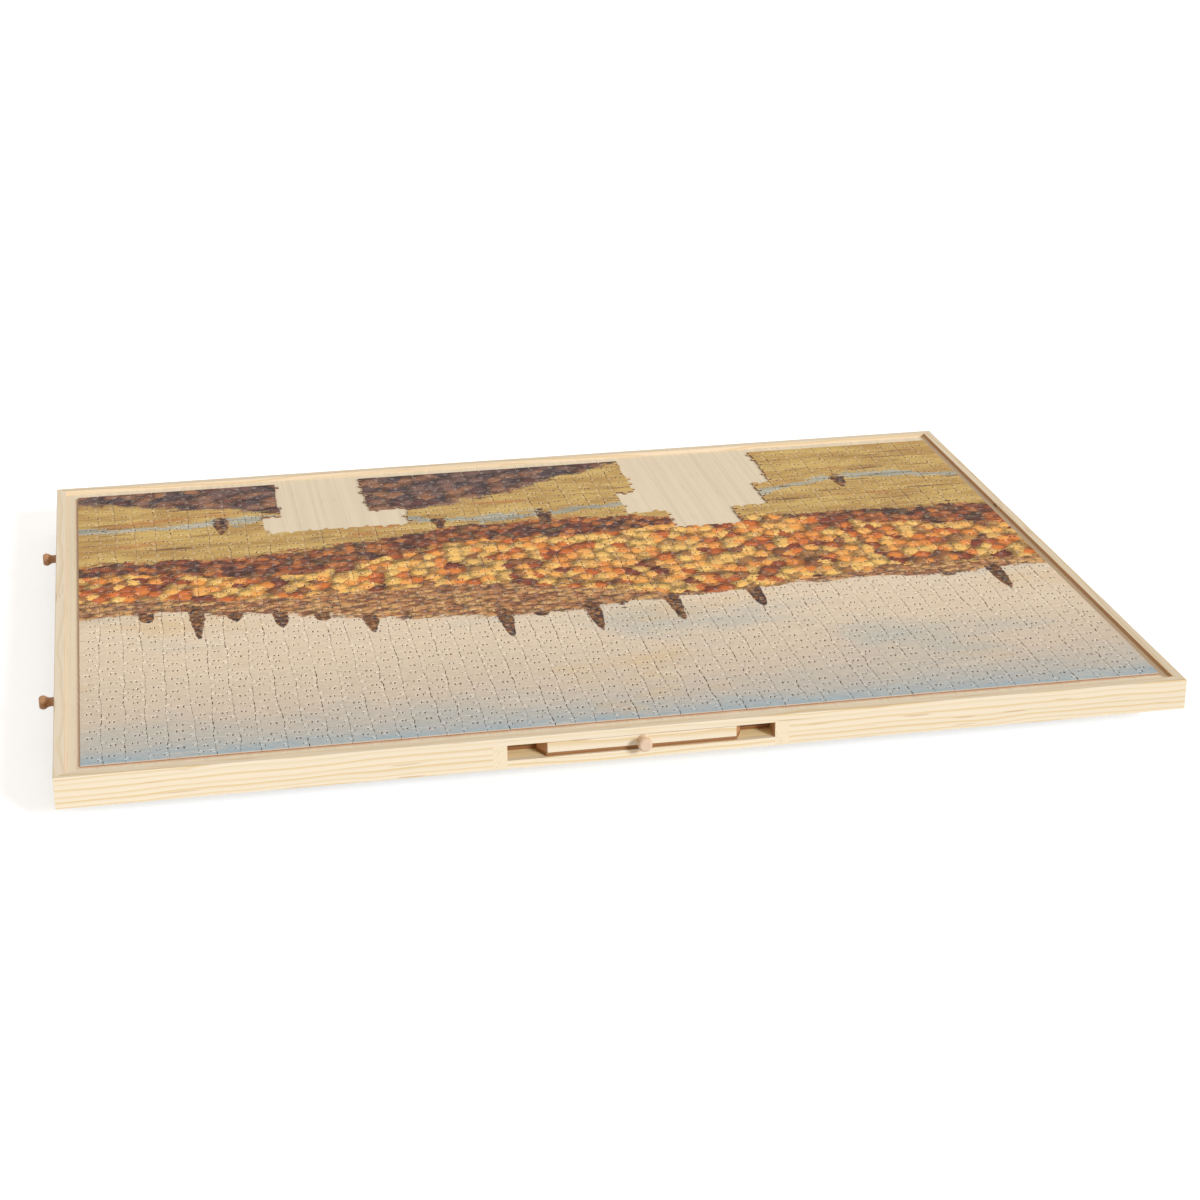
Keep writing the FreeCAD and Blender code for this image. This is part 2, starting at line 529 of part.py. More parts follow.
def knob(name, frame, turn, height):
    """A turned wooden knob: a round foot, a hollow neck and a bulb with a flat tip."""
    body = new_body(f"{name}_knob", frame, turn)
    sketch = new_sketch(body, "KnobProfile", "XY_Plane", ("0", "0", height))
    foot = sheet_value("Dims.knobBase")
    shoulder = sheet_value("Dims.knobShoulder")
    neck = sheet_value("Dims.knobNeckLength")
    tip = sheet_value("Dims.knobTip")
    length = sheet_value("Dims.knobLength")
    shank = sheet_value("Dims.knobScrewShank")
    bite = sheet_value("Dims.knobScrewBite")
    start = Vector(foot, 0, 0)
    waist = Vector(shoulder, -neck, 0)
    end = Vector(tip, -length, 0)
    hollow = Vector((foot + shoulder) / 2 - sheet_value("Dims.knobHollow"), -neck / 2, 0)
    bulge = Vector((shoulder + tip) / 2 + sheet_value("Dims.knobBulge"), -(neck + length) / 2, 0)
    sketch.addGeometry(Part.Arc(start, hollow, waist), False)
    sketch.addGeometry(Part.Arc(waist, bulge, end), False)
    corners = [
        end,
        Vector(0, -length, 0),
        Vector(0, -bite, 0),
        Vector(shank, -bite, 0),
        Vector(shank, 0, 0),
        start,
    ]
    for first, second in zip(corners, corners[1:]):
        sketch.addGeometry(Part.LineSegment(first, second), False)
    hollow_ends = arc_ends(sketch, 0, start)
    bulb_ends = arc_ends(sketch, 1, waist)
    sketch.addConstraint(Sketcher.Constraint("Coincident", 0, hollow_ends[1], 1, bulb_ends[0]))
    sketch.addConstraint(Sketcher.Constraint("Coincident", 1, bulb_ends[1], 2, 1))
    for index in range(2, 6):
        sketch.addConstraint(Sketcher.Constraint("Coincident", index, 2, index + 1, 1))
    sketch.addConstraint(Sketcher.Constraint("Coincident", 6, 2, 0, hollow_ends[0]))
    sketch.addConstraint(Sketcher.Constraint("PointOnObject", 5, 2, -1))
    sketch.addConstraint(Sketcher.Constraint("PointOnObject", 2, 2, -2))
    for index in range(2, 7):
        direction = "Vertical" if index % 2 else "Horizontal"
        sketch.addConstraint(Sketcher.Constraint(direction, index))
    bind(sketch, "foot", Sketcher.Constraint("DistanceX", -1, 1, 6, 2, foot), "Dims.knobBase")
    bind(sketch, "shank", Sketcher.Constraint("DistanceX", -1, 1, 5, 1, shank), "Dims.knobScrewShank")
    bind(sketch, "bite", Sketcher.Constraint("DistanceY", 4, 1, -1, 1, bite), "Dims.knobScrewBite")
    bind(sketch, "tip", Sketcher.Constraint("DistanceX", -1, 1, 2, 1, tip), "Dims.knobTip")
    bind(sketch, "length", Sketcher.Constraint("DistanceY", 2, 1, -1, 1, length), "Dims.knobLength")
    waist_x = Sketcher.Constraint("DistanceX", -1, 1, 1, bulb_ends[0], shoulder)
    bind(sketch, "shoulder", waist_x, "Dims.knobShoulder")
    waist_y = Sketcher.Constraint("DistanceY", 1, bulb_ends[0], -1, 1, neck)
    bind(sketch, "neck", waist_y, "Dims.knobNeckLength")
    neck_radius = arc_radius("Dims.knobBase - Dims.knobShoulder", "Dims.knobNeckLength", "Dims.knobHollow")
    bind(sketch, "neckArc", Sketcher.Constraint("Radius", 0, sheet_value(neck_radius)), neck_radius)
    bulb_length = "Dims.knobLength - Dims.knobNeckLength"
    bulb_radius = arc_radius("Dims.knobShoulder - Dims.knobTip", bulb_length, "Dims.knobBulge")
    bind(sketch, "bulbArc", Sketcher.Constraint("Radius", 1, sheet_value(bulb_radius)), bulb_radius)
    turned(body, "Knob", sketch)


def arc_ends(sketch, index, first_point):
    """The arc's two end numbers, the one at the given point first."""
    starts_there = sketch.getPoint(index, 1).distanceToPoint(first_point) < 1e-6
    return (1, 2) if starts_there else (2, 1)


def arc_radius(across, along, rise):
    """The radius of an arc from its chord, given as two legs, and its rise over the chord."""
    return f"((({across}) ^ 2 + ({along}) ^ 2) / 4 + {rise} ^ 2) / (2 * {rise})"


def knob_screw(name, frame, turn, height, wall_back):
    """A pan head screw from inside the drawer, through wall and face into the knob."""
    body = new_body(f"{name}_knob_screw", frame, turn)
    head_low = f"Dims.knobScrewBite + {wall_back}"
    head_top = f"{head_low} + Dims.screwHeadHeight"
    steps = [
        ("0", "0"),
        ("Dims.knobScrewShank", "0"),
        ("Dims.knobScrewShank", head_low),
        ("Dims.screwHead", head_low),
        ("Dims.screwHead", head_top),
        ("0", head_top),
    ]
    profile = stepped_profile(body, "ScrewProfile", "XY_Plane", ("0", "-Dims.knobScrewBite", height), steps)
    turned(body, "Screw", profile)


slot_floor = f"{TRAY_Z} + Dims.sillHeight"
front_frame = ("0", f"-{HALF_WIDTH}", slot_floor)
left_front_frame = (f"-{HALF_LENGTH}", f"-{SIDE_SLOT_Y}", slot_floor)
left_back_frame = (f"-{HALF_LENGTH}", SIDE_SLOT_Y, slot_floor)
drawer("front_drawer", front_frame, 0.0, "Dims.frontSlotWidth", "Dims.frontDrawerDepth")
drawer("left_front_drawer", left_front_frame, -90.0, SIDE_SLOT, SIDE_DRAWER_DEPTH)
drawer("left_back_drawer", left_back_frame, -90.0, SIDE_SLOT, SIDE_DRAWER_DEPTH)


# The turntable bearing: two pressed steel plates held together by the lower one's collar,
# with a ring of caged balls between them
def bearing_plate(body, low):
    """A square plate with rounded corners, its underside at a height."""
    corner = ("-Dims.bearingPlate / 2", "-Dims.bearingPlate / 2", low)
    plate = block(body, "Plate", corner, ("Dims.bearingPlate", "Dims.bearingPlate", "Dims.plateThickness"))
    doc.recompute()
    upright = []
    for index, edge in enumerate(plate.Shape.Edges, start=1):
        ends = [vertex.Point for vertex in edge.Vertexes]
        if abs(ends[0].z - ends[1].z) > 1e-4:
            upright.append(f"Edge{index}")
    rounding = body.newObject("PartDesign::Fillet", "Corners")
    rounding.Base = (plate, upright)
    rounding.setExpression("Radius", "Dims.plateCorner")


def plate_screw_holes(body, low):
    """Clearance holes for the four plate screws."""
    radius = "Dims.screwShank + Dims.screwPlay"
    hole = bore(body, "ScrewHole", (PLATE_SCREW, PLATE_SCREW, low), radius, "Dims.plateThickness")
    round_pattern(body, "ScrewHoles", hole, "4")


def race_groove(body):
    """The shallow ring in which the balls run."""
    radius = sheet_value(RACE_RADIUS)
    groove = sheet_value("Dims.ballRadius + Dims.racePlay")
    sketch = new_sketch(body, "RaceProfile", "XZ_Plane", ("0", RACE_Z, "0"))
    sketch.addGeometry(Part.Circle(Vector(radius, 0, 0), Vector(0, 0, 1), groove), False)
    sketch.addConstraint(Sketcher.Constraint("PointOnObject", 0, 3, -1))
    bind(sketch, "circleRadius", Sketcher.Constraint("DistanceX", -1, 1, 0, 3, radius), RACE_RADIUS)
    bind(sketch, "grooveRadius", Sketcher.Constraint("Radius", 0, groove), "Dims.ballRadius + Dims.racePlay")
    turned(body, "Race", sketch, "PartDesign::Groove")


def screw_ring(label, frame, turn, offset, head_low, shank_low, shank_length):
    """Four pan head screws round the axis, each at the same offset along X and Y."""
    body = new_body(label, frame, turn)
    head = rod(body, "Head", (offset, offset, head_low), "Dims.screwHead", "Dims.screwHeadHeight")
    shank = rod(body, "Shank", (offset, offset, shank_low), "Dims.screwShank", shank_length)
    pattern = round_pattern(body, "Screws", head, "4")
    pattern.Originals = [head, shank]


# The lower plate's bore is turned up into a collar, whose flange reaches over the upper plate
bearing_lower_plate = new_body("bearing_lower_plate", BEARING_FRAME)
bearing_plate(bearing_lower_plate, "0")
bore(bearing_lower_plate, "Centre", TABLE_FRAME, "Dims.collarRadius", "Dims.plateThickness")
flange_top = f"({BEARING_HEIGHT} - Dims.flangeTopGap)"
flange_low = f"({flange_top} - Dims.plateThickness)"
flange_outer = f"({COLLAR_OUTER} + Dims.flangeReach)"
collar_steps = [
    ("Dims.collarRadius", "0"),
    (COLLAR_OUTER, "0"),
    (COLLAR_OUTER, flange_low),
    (flange_outer, flange_low),
    (flange_outer, flange_top),
    ("Dims.collarRadius", flange_top),
]
collar = stepped_profile(bearing_lower_plate, "CollarProfile", "XZ_Plane", TABLE_FRAME, collar_steps)
turned(bearing_lower_plate, "Collar", collar)
race_groove(bearing_lower_plate)
plate_screw_holes(bearing_lower_plate, "0")

# The upper plate steps down under the flange.  It lies turned by an eighth, so that its
# screws can be reached past the lower plate's edges.
bearing_upper_plate = new_body("bearing_upper_plate", BEARING_FRAME, 45.0)
bearing_plate(bearing_upper_plate, UPPER_PLATE_Z)
bore(bearing_upper_plate, "Centre", ("0", "0", UPPER_PLATE_Z), STEP_INNER, "Dims.plateThickness")
step_bore = f"({COLLAR_OUTER} + Dims.collarPlay)"
step_top = f"({flange_low} - Dims.flangeGap)"
step_low = f"({step_top} - Dims.plateThickness)"
step_steps = [
    (step_bore, step_low),
    (STEP_OUTER, step_low),
    (STEP_OUTER, BEARING_HEIGHT),
    (STEP_INNER, BEARING_HEIGHT),
    (STEP_INNER, step_top),
    (step_bore, step_top),
]
step = stepped_profile(bearing_upper_plate, "StepProfile", "XZ_Plane", TABLE_FRAME, step_steps)
turned(bearing_upper_plate, "Step", step)
race_groove(bearing_upper_plate)
plate_screw_holes(bearing_upper_plate, UPPER_PLATE_Z)

ball_cage = new_body("ball_cage", BEARING_FRAME)
cage_low = f"{RACE_Z} - Dims.cageThickness / 2"
rod(ball_cage, "Ring", ("0", "0", cage_low), f"{RACE_RADIUS} + Dims.cageWidth / 2", "Dims.cageThickness")
bore(ball_cage, "Bore", ("0", "0", cage_low), f"{RACE_RADIUS} - Dims.cageWidth / 2", "Dims.cageThickness")
ball_hole_radius = "Dims.ballRadius + Dims.cagePlay"
ball_hole = bore(ball_cage, "BallHole", (RACE_RADIUS, "0", cage_low), ball_hole_radius, "Dims.cageThickness")
round_pattern(ball_cage, "BallHoles", ball_hole, "Dims.ballCount")

bearing_balls = new_body("bearing_balls", BEARING_FRAME)
ball_profile = new_sketch(bearing_balls, "BallProfile", "XZ_Plane", (RACE_RADIUS, RACE_Z, "0"))
ball_radius = sheet_value("Dims.ballRadius")
pole_low = Vector(0, -ball_radius, 0)
pole_high = Vector(0, ball_radius, 0)
ball_profile.addGeometry(Part.Arc(pole_low, Vector(ball_radius, 0, 0), pole_high), False)
ball_profile.addGeometry(Part.LineSegment(pole_high, pole_low), False)
ball_profile.addConstraint(Sketcher.Constraint("Coincident", 0, 2, 1, 1))
ball_profile.addConstraint(Sketcher.Constraint("Coincident", 1, 2, 0, 1))
ball_profile.addConstraint(Sketcher.Constraint("Coincident", 0, 3, -1, 1))
ball_profile.addConstraint(Sketcher.Constraint("PointOnObject", 0, 1, -2))
ball_profile.addConstraint(Sketcher.Constraint("PointOnObject", 0, 2, -2))
bind(ball_profile, "radius", Sketcher.Constraint("Radius", 0, ball_radius), "Dims.ballRadius")
ball = turned(bearing_balls, "Ball", ball_profile)
round_pattern(bearing_balls, "Balls", ball, "Dims.ballCount")

# The lower plate is screwed down to the round foot, the upper one up into the pad
plate_grip = "Dims.plateThickness + Dims.screwBite"
lower_shank_low = "-Dims.screwBite"
head_low = "Dims.plateThickness"
screw_ring("lower_plate_screws", BEARING_FRAME, 0.0, PLATE_SCREW, head_low, lower_shank_low, plate_grip)
upper_head_low = f"{UPPER_PLATE_Z} - Dims.screwHeadHeight"
screw_ring("upper_plate_screws", BEARING_FRAME, 45.0, PLATE_SCREW, upper_head_low, UPPER_PLATE_Z, plate_grip)

# The bearing pad fills the space under the middle floor, flush with the tray's underside
bearing_pad = new_body("bearing_pad", TRAY_FRAME)
pad_side = "(Dims.frontSlotWidth - 2 * Dims.padMargin)"
block(bearing_pad, "Pad", (f"-{pad_side} / 2", f"-{pad_side} / 2", "0"), (pad_side, pad_side, FLOOR_UNDER))
pad_hole = bore(bearing_pad, "ScrewHole", (PLATE_SCREW_CIRCLE, "0", "0"), "Dims.screwShank", FLOOR_UNDER)
round_pattern(bearing_pad, "ScrewHoles", pad_hole, "4")
floor_bite = f"Dims.screwBite - {FLOOR_UNDER}"
floor_hole_low = (PLATE_SCREW_CIRCLE, "0", FLOOR_UNDER)
floor_hole = bore(bottom_middle, "ScrewHole", floor_hole_low, "Dims.screwShank", floor_bite)
round_pattern(bottom_middle, "ScrewHoles", floor_hole, "4")

# The round foot, with blind holes for the plate and foot screws and for the middle foot's plug,
# and one hole right through
FOOT_OFFSET = "((Dims.baseRadius - Dims.footInset) / sqrt(2))"
base_disc = new_body("base_disc", TABLE_FRAME)
disc = rod(base_disc, "Disc", ("0", "0", "Dims.footHeight"), "Dims.baseRadius", "Dims.baseThickness")
doc.recompute()
rims = [f"Edge{index}" for index, edge in enumerate(disc.Shape.Edges, start=1) if len(edge.Vertexes) == 1]
disc_rounding = base_disc.newObject("PartDesign::Fillet", "Eased")
disc_rounding.Base = (disc, rims)
disc_rounding.setExpression("Radius", "Dims.baseEase")
plate_hole_low = (PLATE_SCREW, PLATE_SCREW, f"{BEARING_Z} - Dims.screwBite")
plate_hole = bore(base_disc, "PlateScrewHole", plate_hole_low, "Dims.screwShank", "Dims.screwBite")
round_pattern(base_disc, "PlateScrewHoles", plate_hole, "4")
foot_hole_low = (FOOT_OFFSET, FOOT_OFFSET, "Dims.footHeight")
foot_hole = bore(base_disc, "FootScrewHole", foot_hole_low, "Dims.screwShank", "Dims.screwBite")
round_pattern(base_disc, "FootScrewHoles", foot_hole, "4")
access_low = (PLATE_SCREW_CIRCLE, "0", "Dims.footHeight")
bore(base_disc, "AccessHole", access_low, "Dims.accessRadius", "Dims.baseThickness")
plug_low = ("0", "0", "Dims.footHeight")
bore(base_disc, "PlugHole", plug_low, "Dims.plugRadius", "Dims.plugLength")

# Rubber feet, each with a recess that hides its screw's head
base_feet = new_body("base_feet", TABLE_FRAME)
foot_low = (FOOT_OFFSET, FOOT_OFFSET, "0")
foot = rod(base_feet, "Foot", foot_low, "Dims.footRadius", "Dims.footHeight")
recess = bore(base_feet, "Recess", foot_low, "Dims.screwHead + Dims.footRecessPlay", "Dims.footRecess")
foot_bore = bore(base_feet, "ScrewHole", foot_low, "Dims.screwShank", "Dims.footHeight")
feet = round_pattern(base_feet, "Feet", foot, "4")
feet.Originals = [foot, recess, foot_bore]
foot_head_low = "Dims.footRecess - Dims.screwHeadHeight"
foot_grip = "Dims.footHeight - Dims.footRecess + Dims.screwBite"
screw_ring("foot_screws", TABLE_FRAME, 0.0, FOOT_OFFSET, foot_head_low, "Dims.footRecess", foot_grip)

# The middle foot has a plug in place of a screw
centre_foot = new_body("centre_foot", TABLE_FRAME)
rod(centre_foot, "Foot", TABLE_FRAME, "Dims.footRadius", "Dims.footHeight")
rod(centre_foot, "Plug", plug_low, "Dims.plugRadius", "Dims.plugLength")

# Check every object and every sub-part, then write one file for each
doc.recompute()
failed = [item.Label for item in doc.Objects if "Invalid" in item.State or "Error" in item.State]
if failed:
    raise RuntimeError("objects that failed: " + ", ".join(failed))
for node in NODES:
    if node.Shape.isNull() or not node.Shape.isValid():
        raise RuntimeError("bad shape: " + node.Label)
os.makedirs("parts", exist_ok=True)
for node in NODES:
    node.Shape.exportStep(f"parts/{node.Label}.step")
    print(node.Label, len(node.Shape.Solids), round(node.Shape.Volume, 1))
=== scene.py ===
# Rotating jigsaw puzzle board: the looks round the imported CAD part. Lengths are in metres, in the
# part's own frame: +X along the tray's long side, -Y to its front, the table at Z = 0.
import math

import bpy
import numpy as np
from mathutils import Matrix, Vector


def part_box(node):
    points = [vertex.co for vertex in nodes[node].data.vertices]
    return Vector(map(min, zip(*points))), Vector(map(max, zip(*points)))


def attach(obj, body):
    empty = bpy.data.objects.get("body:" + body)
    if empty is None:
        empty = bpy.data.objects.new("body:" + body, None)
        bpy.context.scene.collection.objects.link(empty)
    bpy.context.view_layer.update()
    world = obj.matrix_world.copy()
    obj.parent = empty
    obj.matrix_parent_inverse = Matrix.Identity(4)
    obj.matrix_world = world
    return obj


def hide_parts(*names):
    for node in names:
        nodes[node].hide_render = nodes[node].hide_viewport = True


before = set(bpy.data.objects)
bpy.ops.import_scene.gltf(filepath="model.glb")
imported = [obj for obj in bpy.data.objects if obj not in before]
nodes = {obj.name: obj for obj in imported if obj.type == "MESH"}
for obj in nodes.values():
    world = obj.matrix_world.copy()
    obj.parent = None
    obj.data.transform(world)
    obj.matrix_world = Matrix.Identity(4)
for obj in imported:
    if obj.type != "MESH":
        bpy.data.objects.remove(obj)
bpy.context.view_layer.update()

MM = 0.001


def rgb(red, green, blue):
    """A colour given as it looks on a screen, 0 to 255, as linear light."""
    out = []
    for value in (red, green, blue):
        level = value / 255
        out.append(level / 12.92 if level <= 0.04045 else ((level + 0.055) / 1.055) ** 2.4)
    return (*out, 1.0)


class Paint:
    """A material built up from nodes. Its coordinates are metres in the part's frame."""

    def __init__(self, name):
        self.material = bpy.data.materials.new(name)
        self.material.use_nodes = True
        self.nodes = self.material.node_tree.nodes
        self.links = self.material.node_tree.links
        self.nodes.clear()
        self.output = self.nodes.new("ShaderNodeOutputMaterial")
        coordinates = self.nodes.new("ShaderNodeTexCoord")
        self.place = coordinates.outputs["Object"]
        self.facing = coordinates.outputs["Normal"]

    def set(self, socket, value):
        """Links a socket to another one, or gives it a plain value."""
        if isinstance(value, bpy.types.NodeSocket):
            self.links.new(value, socket)
        else:
            socket.default_value = value

    def math(self, operation, *values):
        node = self.nodes.new("ShaderNodeMath")
        node.operation = operation
        for socket, value in zip(node.inputs, values):
            self.set(socket, value)
        return node.outputs[0]

    def split(self, vector):
        node = self.nodes.new("ShaderNodeSeparateXYZ")
        self.set(node.inputs[0], vector)
        return list(node.outputs)

    def join(self, x, y, z):
        node = self.nodes.new("ShaderNodeCombineXYZ")
        for socket, value in zip(node.inputs, (x, y, z)):
            self.set(socket, value)
        return node.outputs[0]

    def stretch(self, vector, factors, shift=(0.0, 0.0, 0.0)):
        """The vector times the factors, plus a shift."""
        node = self.nodes.new("ShaderNodeVectorMath")
        node.operation = "MULTIPLY_ADD"
        for socket, value in zip(node.inputs, (vector, factors, shift)):
            self.set(socket, value)
        return node.outputs[0]

    def noise(self, vector, scale=1.0, detail=2.0, roughness=0.5, distortion=0.0):
        node = self.nodes.new("ShaderNodeTexNoise")
        self.set(node.inputs["Vector"], vector)
        node.inputs["Scale"].default_value = scale
        node.inputs["Detail"].default_value = detail
        node.inputs["Roughness"].default_value = roughness
        node.inputs["Distortion"].default_value = distortion
        return node.outputs["Fac"]

    def cells(self, vector, scale=1.0, flat=False):
        """The distance to the nearest of many scattered points."""
        node = self.nodes.new("ShaderNodeTexVoronoi")
        node.voronoi_dimensions = "2D" if flat else "3D"
        self.set(node.inputs["Vector"], vector)
        node.inputs["Scale"].default_value = scale
        return node.outputs["Distance"]

    def chance(self, value):
        """A random number from 0 to 1 for each value."""
        node = self.nodes.new("ShaderNodeTexWhiteNoise")
        node.noise_dimensions = "1D"
        self.set(node.inputs["W"], value)
        return node.outputs["Value"]

    def step(self, value, low, high):
        """0 below low, 1 above high and smooth between; low may be the larger one."""
        node = self.nodes.new("ShaderNodeMapRange")
        node.interpolation_type = "SMOOTHSTEP"
        self.set(node.inputs["Value"], value)
        self.set(node.inputs["From Min"], low)
        self.set(node.inputs["From Max"], high)
        return node.outputs[0]

    def ramp(self, value, stops):
        node = self.nodes.new("ShaderNodeValToRGB")
        self.set(node.inputs[0], value)
        elements = node.color_ramp.elements
        while len(elements) < len(stops):
            elements.new(0.5)
        for element, (position, colour) in zip(elements, stops):
            element.position = position
            element.color = rgb(*colour)
        return node.outputs[0]

    def mix(self, share, first, second, kind="MIX"):
        """The first colour with a share of the second."""
        node = self.nodes.new("ShaderNodeMix")
        node.data_type = "RGBA"
        node.blend_type = kind
        self.set(node.inputs[0], share)
        self.set(node.inputs[6], rgb(*first) if isinstance(first, tuple) else first)
        self.set(node.inputs[7], rgb(*second) if isinstance(second, tuple) else second)
        return node.outputs[2]

    def shade(self, colour, low, high, value):
        """The colour times a level between low and high, as the value goes from 0 to 1."""
        node = self.nodes.new("ShaderNodeMapRange")
        self.set(node.inputs["Value"], value)
        node.inputs["To Min"].default_value = low
        node.inputs["To Max"].default_value = high
        level = self.join(node.outputs[0], node.outputs[0], node.outputs[0])
        return self.mix(1.0, colour, level, "MULTIPLY")

    def finish(self, colour, roughness, height=None, depth=0.0, strength=1.0, **sockets):
        """Ends the material in one shader. Depth is the height of the bump in metres."""
        shader = self.nodes.new("ShaderNodeBsdfPrincipled")
        self.set(shader.inputs["Base Color"], colour)
        self.set(shader.inputs["Roughness"], roughness)
        for name, value in sockets.items():
            shader.inputs[name.replace("_", " ")].default_value = value
        if height is not None:
            bump = self.nodes.new("ShaderNodeBump")
            bump.inputs["Strength"].default_value = strength
            bump.inputs["Distance"].default_value = depth
            self.set(bump.inputs["Height"], height)
            self.links.new(bump.outputs[0], shader.inputs["Normal"])
        self.links.new(shader.outputs[0], self.output.inputs["Surface"])
        return self.material


# Wood

PINE = {"early": (232, 214, 186), "late": (219, 190, 139), "end": (226, 204, 170)}
PALEST_PINE = {"early": (244, 228, 202), "late": (232, 206, 164), "end": (232, 212, 180)}
# The drawer faces' end colour is darker than plain end grain: end grain darkening and painted shade on the splayed ends
# together.
FACE_PINE = {"early": (232, 214, 186), "late": (220, 192, 146), "end": (186, 122, 70)}
PLAIN_PINE = {"early": (228, 206, 174), "late": (214, 182, 134), "end": (232, 212, 180)}
PALE_BEECH = {"early": (222, 192, 160), "late": (206, 170, 134), "end": (214, 186, 158)}
# Painted shade: a darker copy of the beech for the knobs on the tray's shaded left side.
SHADED_BEECH = {"early": (190, 140, 98), "late": (166, 114, 76), "end": (184, 132, 92)}
# Painted shade: the brown laid on the inner sides of the frame strips and on the guide rails' sides.
INNER_SIDE_SHADE = (184, 130, 80)
# Painted shade: near-black brown for the drawers' walls, which lie deep in shade behind the finger gaps.
DEEP_SHADE_BROWN = (86, 47, 25)


def pine(name, axis, middle, heart, seed, colours=PINE, spacing=0.0046, knot=None, rough=None):
    """Pine cut along an axis. Heart is the tree's middle across the grain from the piece's own.
    Rough is the way that a side with painted shade faces, how far its colour is browned, and the brown of that painted
    shade."""
    paint = Paint(name)
    parts = paint.split(paint.place)
    along = parts[axis]
    across = [part for index, part in enumerate(parts) if index != axis]
    centre = [value for index, value in enumerate(middle) if index != axis]
    sides = [
        paint.math("SUBTRACT", part, value + offset)
        for part, value, offset in zip(across, centre, heart)
    ]
    drift = paint.join(
        paint.math("MULTIPLY_ADD", along, 3.0, seed * 7.13),
        paint.math("MULTIPLY", across[0], 9.0),
        paint.math("MULTIPLY", across[1], 9.0),
    )
    wave = paint.math("MULTIPLY_ADD", paint.noise(drift, 1.0, 3.0, 0.5), 0.026, -0.013)
    squares = [paint.math("MULTIPLY", side, side) for side in sides]
    radius = paint.math("SQRT", paint.math("ADD", *squares))
    radius = paint.math("ADD", radius, wave)
    if knot:
        radius = paint.math("ADD", radius, knot_swell(paint, knot))
    uneven = paint.noise(paint.join(paint.math("MULTIPLY", radius, 90.0), seed * 3.1, 0.0), 1.0, 1.0)
    rings = paint.math("MULTIPLY_ADD", radius, 1 / spacing, paint.math("MULTIPLY", uneven, 1.6))
    phase = paint.math("FRACT", rings)
    late = paint.math(
        "MULTIPLY", paint.step(phase, 0.42, 0.9), paint.step(phase, 1.0, 0.94)
    )
    depth = paint.math("MULTIPLY_ADD", paint.chance(paint.math("FLOOR", rings)), 0.55, 0.4)
    late = paint.math("MULTIPLY", late, depth)
    fine = [3.0 if index == axis else 620.0 for index in range(3)]
    fibre = paint.noise(paint.stretch(paint.place, fine, (seed, seed * 2.0, seed * 3.0)), 1.0, 3.0, 0.6)
    broad = [1.2 if index == axis else 22.0 for index in range(3)]
    tone = paint.noise(paint.stretch(paint.place, broad, (seed * 5.0, 0.0, seed)), 1.0, 2.0)
    colour = paint.mix(late, colours["early"], colours["late"])
    colour = paint.shade(colour, 0.93, 1.06, fibre)
    colour = paint.shade(colour, 0.92, 1.07, tone)
    streak = [22.0 if index == axis else 520.0 for index in range(3)]
    flecks = paint.noise(paint.stretch(paint.place, streak, (seed * 2.0, seed, 0.0)), 1.0, 0.0)
    flecks = paint.math("MULTIPLY", paint.step(flecks, 0.74, 0.82), 0.4)
    colour = paint.mix(flecks, colour, (176, 120, 72))
    # Painted shade: the side facing the given way is browned, more along some fibres than others.
    if rough:
        way, share, brown = rough
        facing = paint.nodes.new("ShaderNodeVectorMath")
        facing.operation = "DOT_PRODUCT"
        paint.set(facing.inputs[0], paint.facing)
        paint.set(facing.inputs[1], way)
        side = paint.step(facing.outputs["Value"], 0.6, 0.9)
        fibre_patchiness = paint.math("MULTIPLY_ADD", fibre, 0.4, 0.8)
        side = paint.math("MULTIPLY", paint.math("MULTIPLY", side, fibre_patchiness), share)
        colour = paint.mix(side, colour, brown)
    if knot:
        colour = paint.mix(knot_core(paint, knot), colour, (120, 74, 44))
    normal = paint.split(paint.facing)[axis]
    end = paint.step(paint.math("ABSOLUTE", normal), 0.75, 0.95)
    patch = paint.step(paint.noise(paint.place, 190.0, 1.0), 0.5, 0.58)
    pores = paint.math("MULTIPLY", paint.step(paint.cells(paint.place, 700.0), 0.26, 0.16), patch)
    ends = paint.mix(paint.math("MULTIPLY", pores, 0.55), colours["end"], (120, 80, 48))
    ends = paint.shade(ends, 0.95, 1.04, tone)
    colour = paint.mix(end, colour, ends)
    height = paint.math("ADD", paint.math("MULTIPLY", late, 0.6), fibre)
    roughness = paint.math("MULTIPLY_ADD", fibre, 0.16, 0.5)
    return paint.finish(colour, roughness, height, 0.00012, 0.6, Specular_IOR_Level=0.3)


def knot_distance(paint, knot):
    """How far a point is from a knot, in knot radii."""
    place, radii = knot
    scale = tuple(1 / radius for radius in radii)
    shift = tuple(-value / radius for value, radius in zip(place, radii))
    node = paint.nodes.new("ShaderNodeVectorMath")
    node.operation = "LENGTH"
    paint.set(node.inputs[0], paint.stretch(paint.place, scale, shift))
    return node.outputs["Value"]


def knot_swell(paint, knot):
    """The rings bend round a knot."""
    return paint.math("MULTIPLY", paint.step(knot_distance(paint, knot), 3.2, 0.4), 0.006)


def knot_core(paint, knot):
    return paint.math("MULTIPLY", paint.step(knot_distance(paint, knot), 1.15, 0.7), 0.85)


PLIES = ((222, 192, 150), (196, 158, 114))
# Painted shade: dark brown plies for the drawer bottoms' edges, which sit in shadow under the drawer faces.
SHADED_PLIES = ((160, 114, 74), (146, 100, 62))
PLY_FACE = (243, 227, 199)


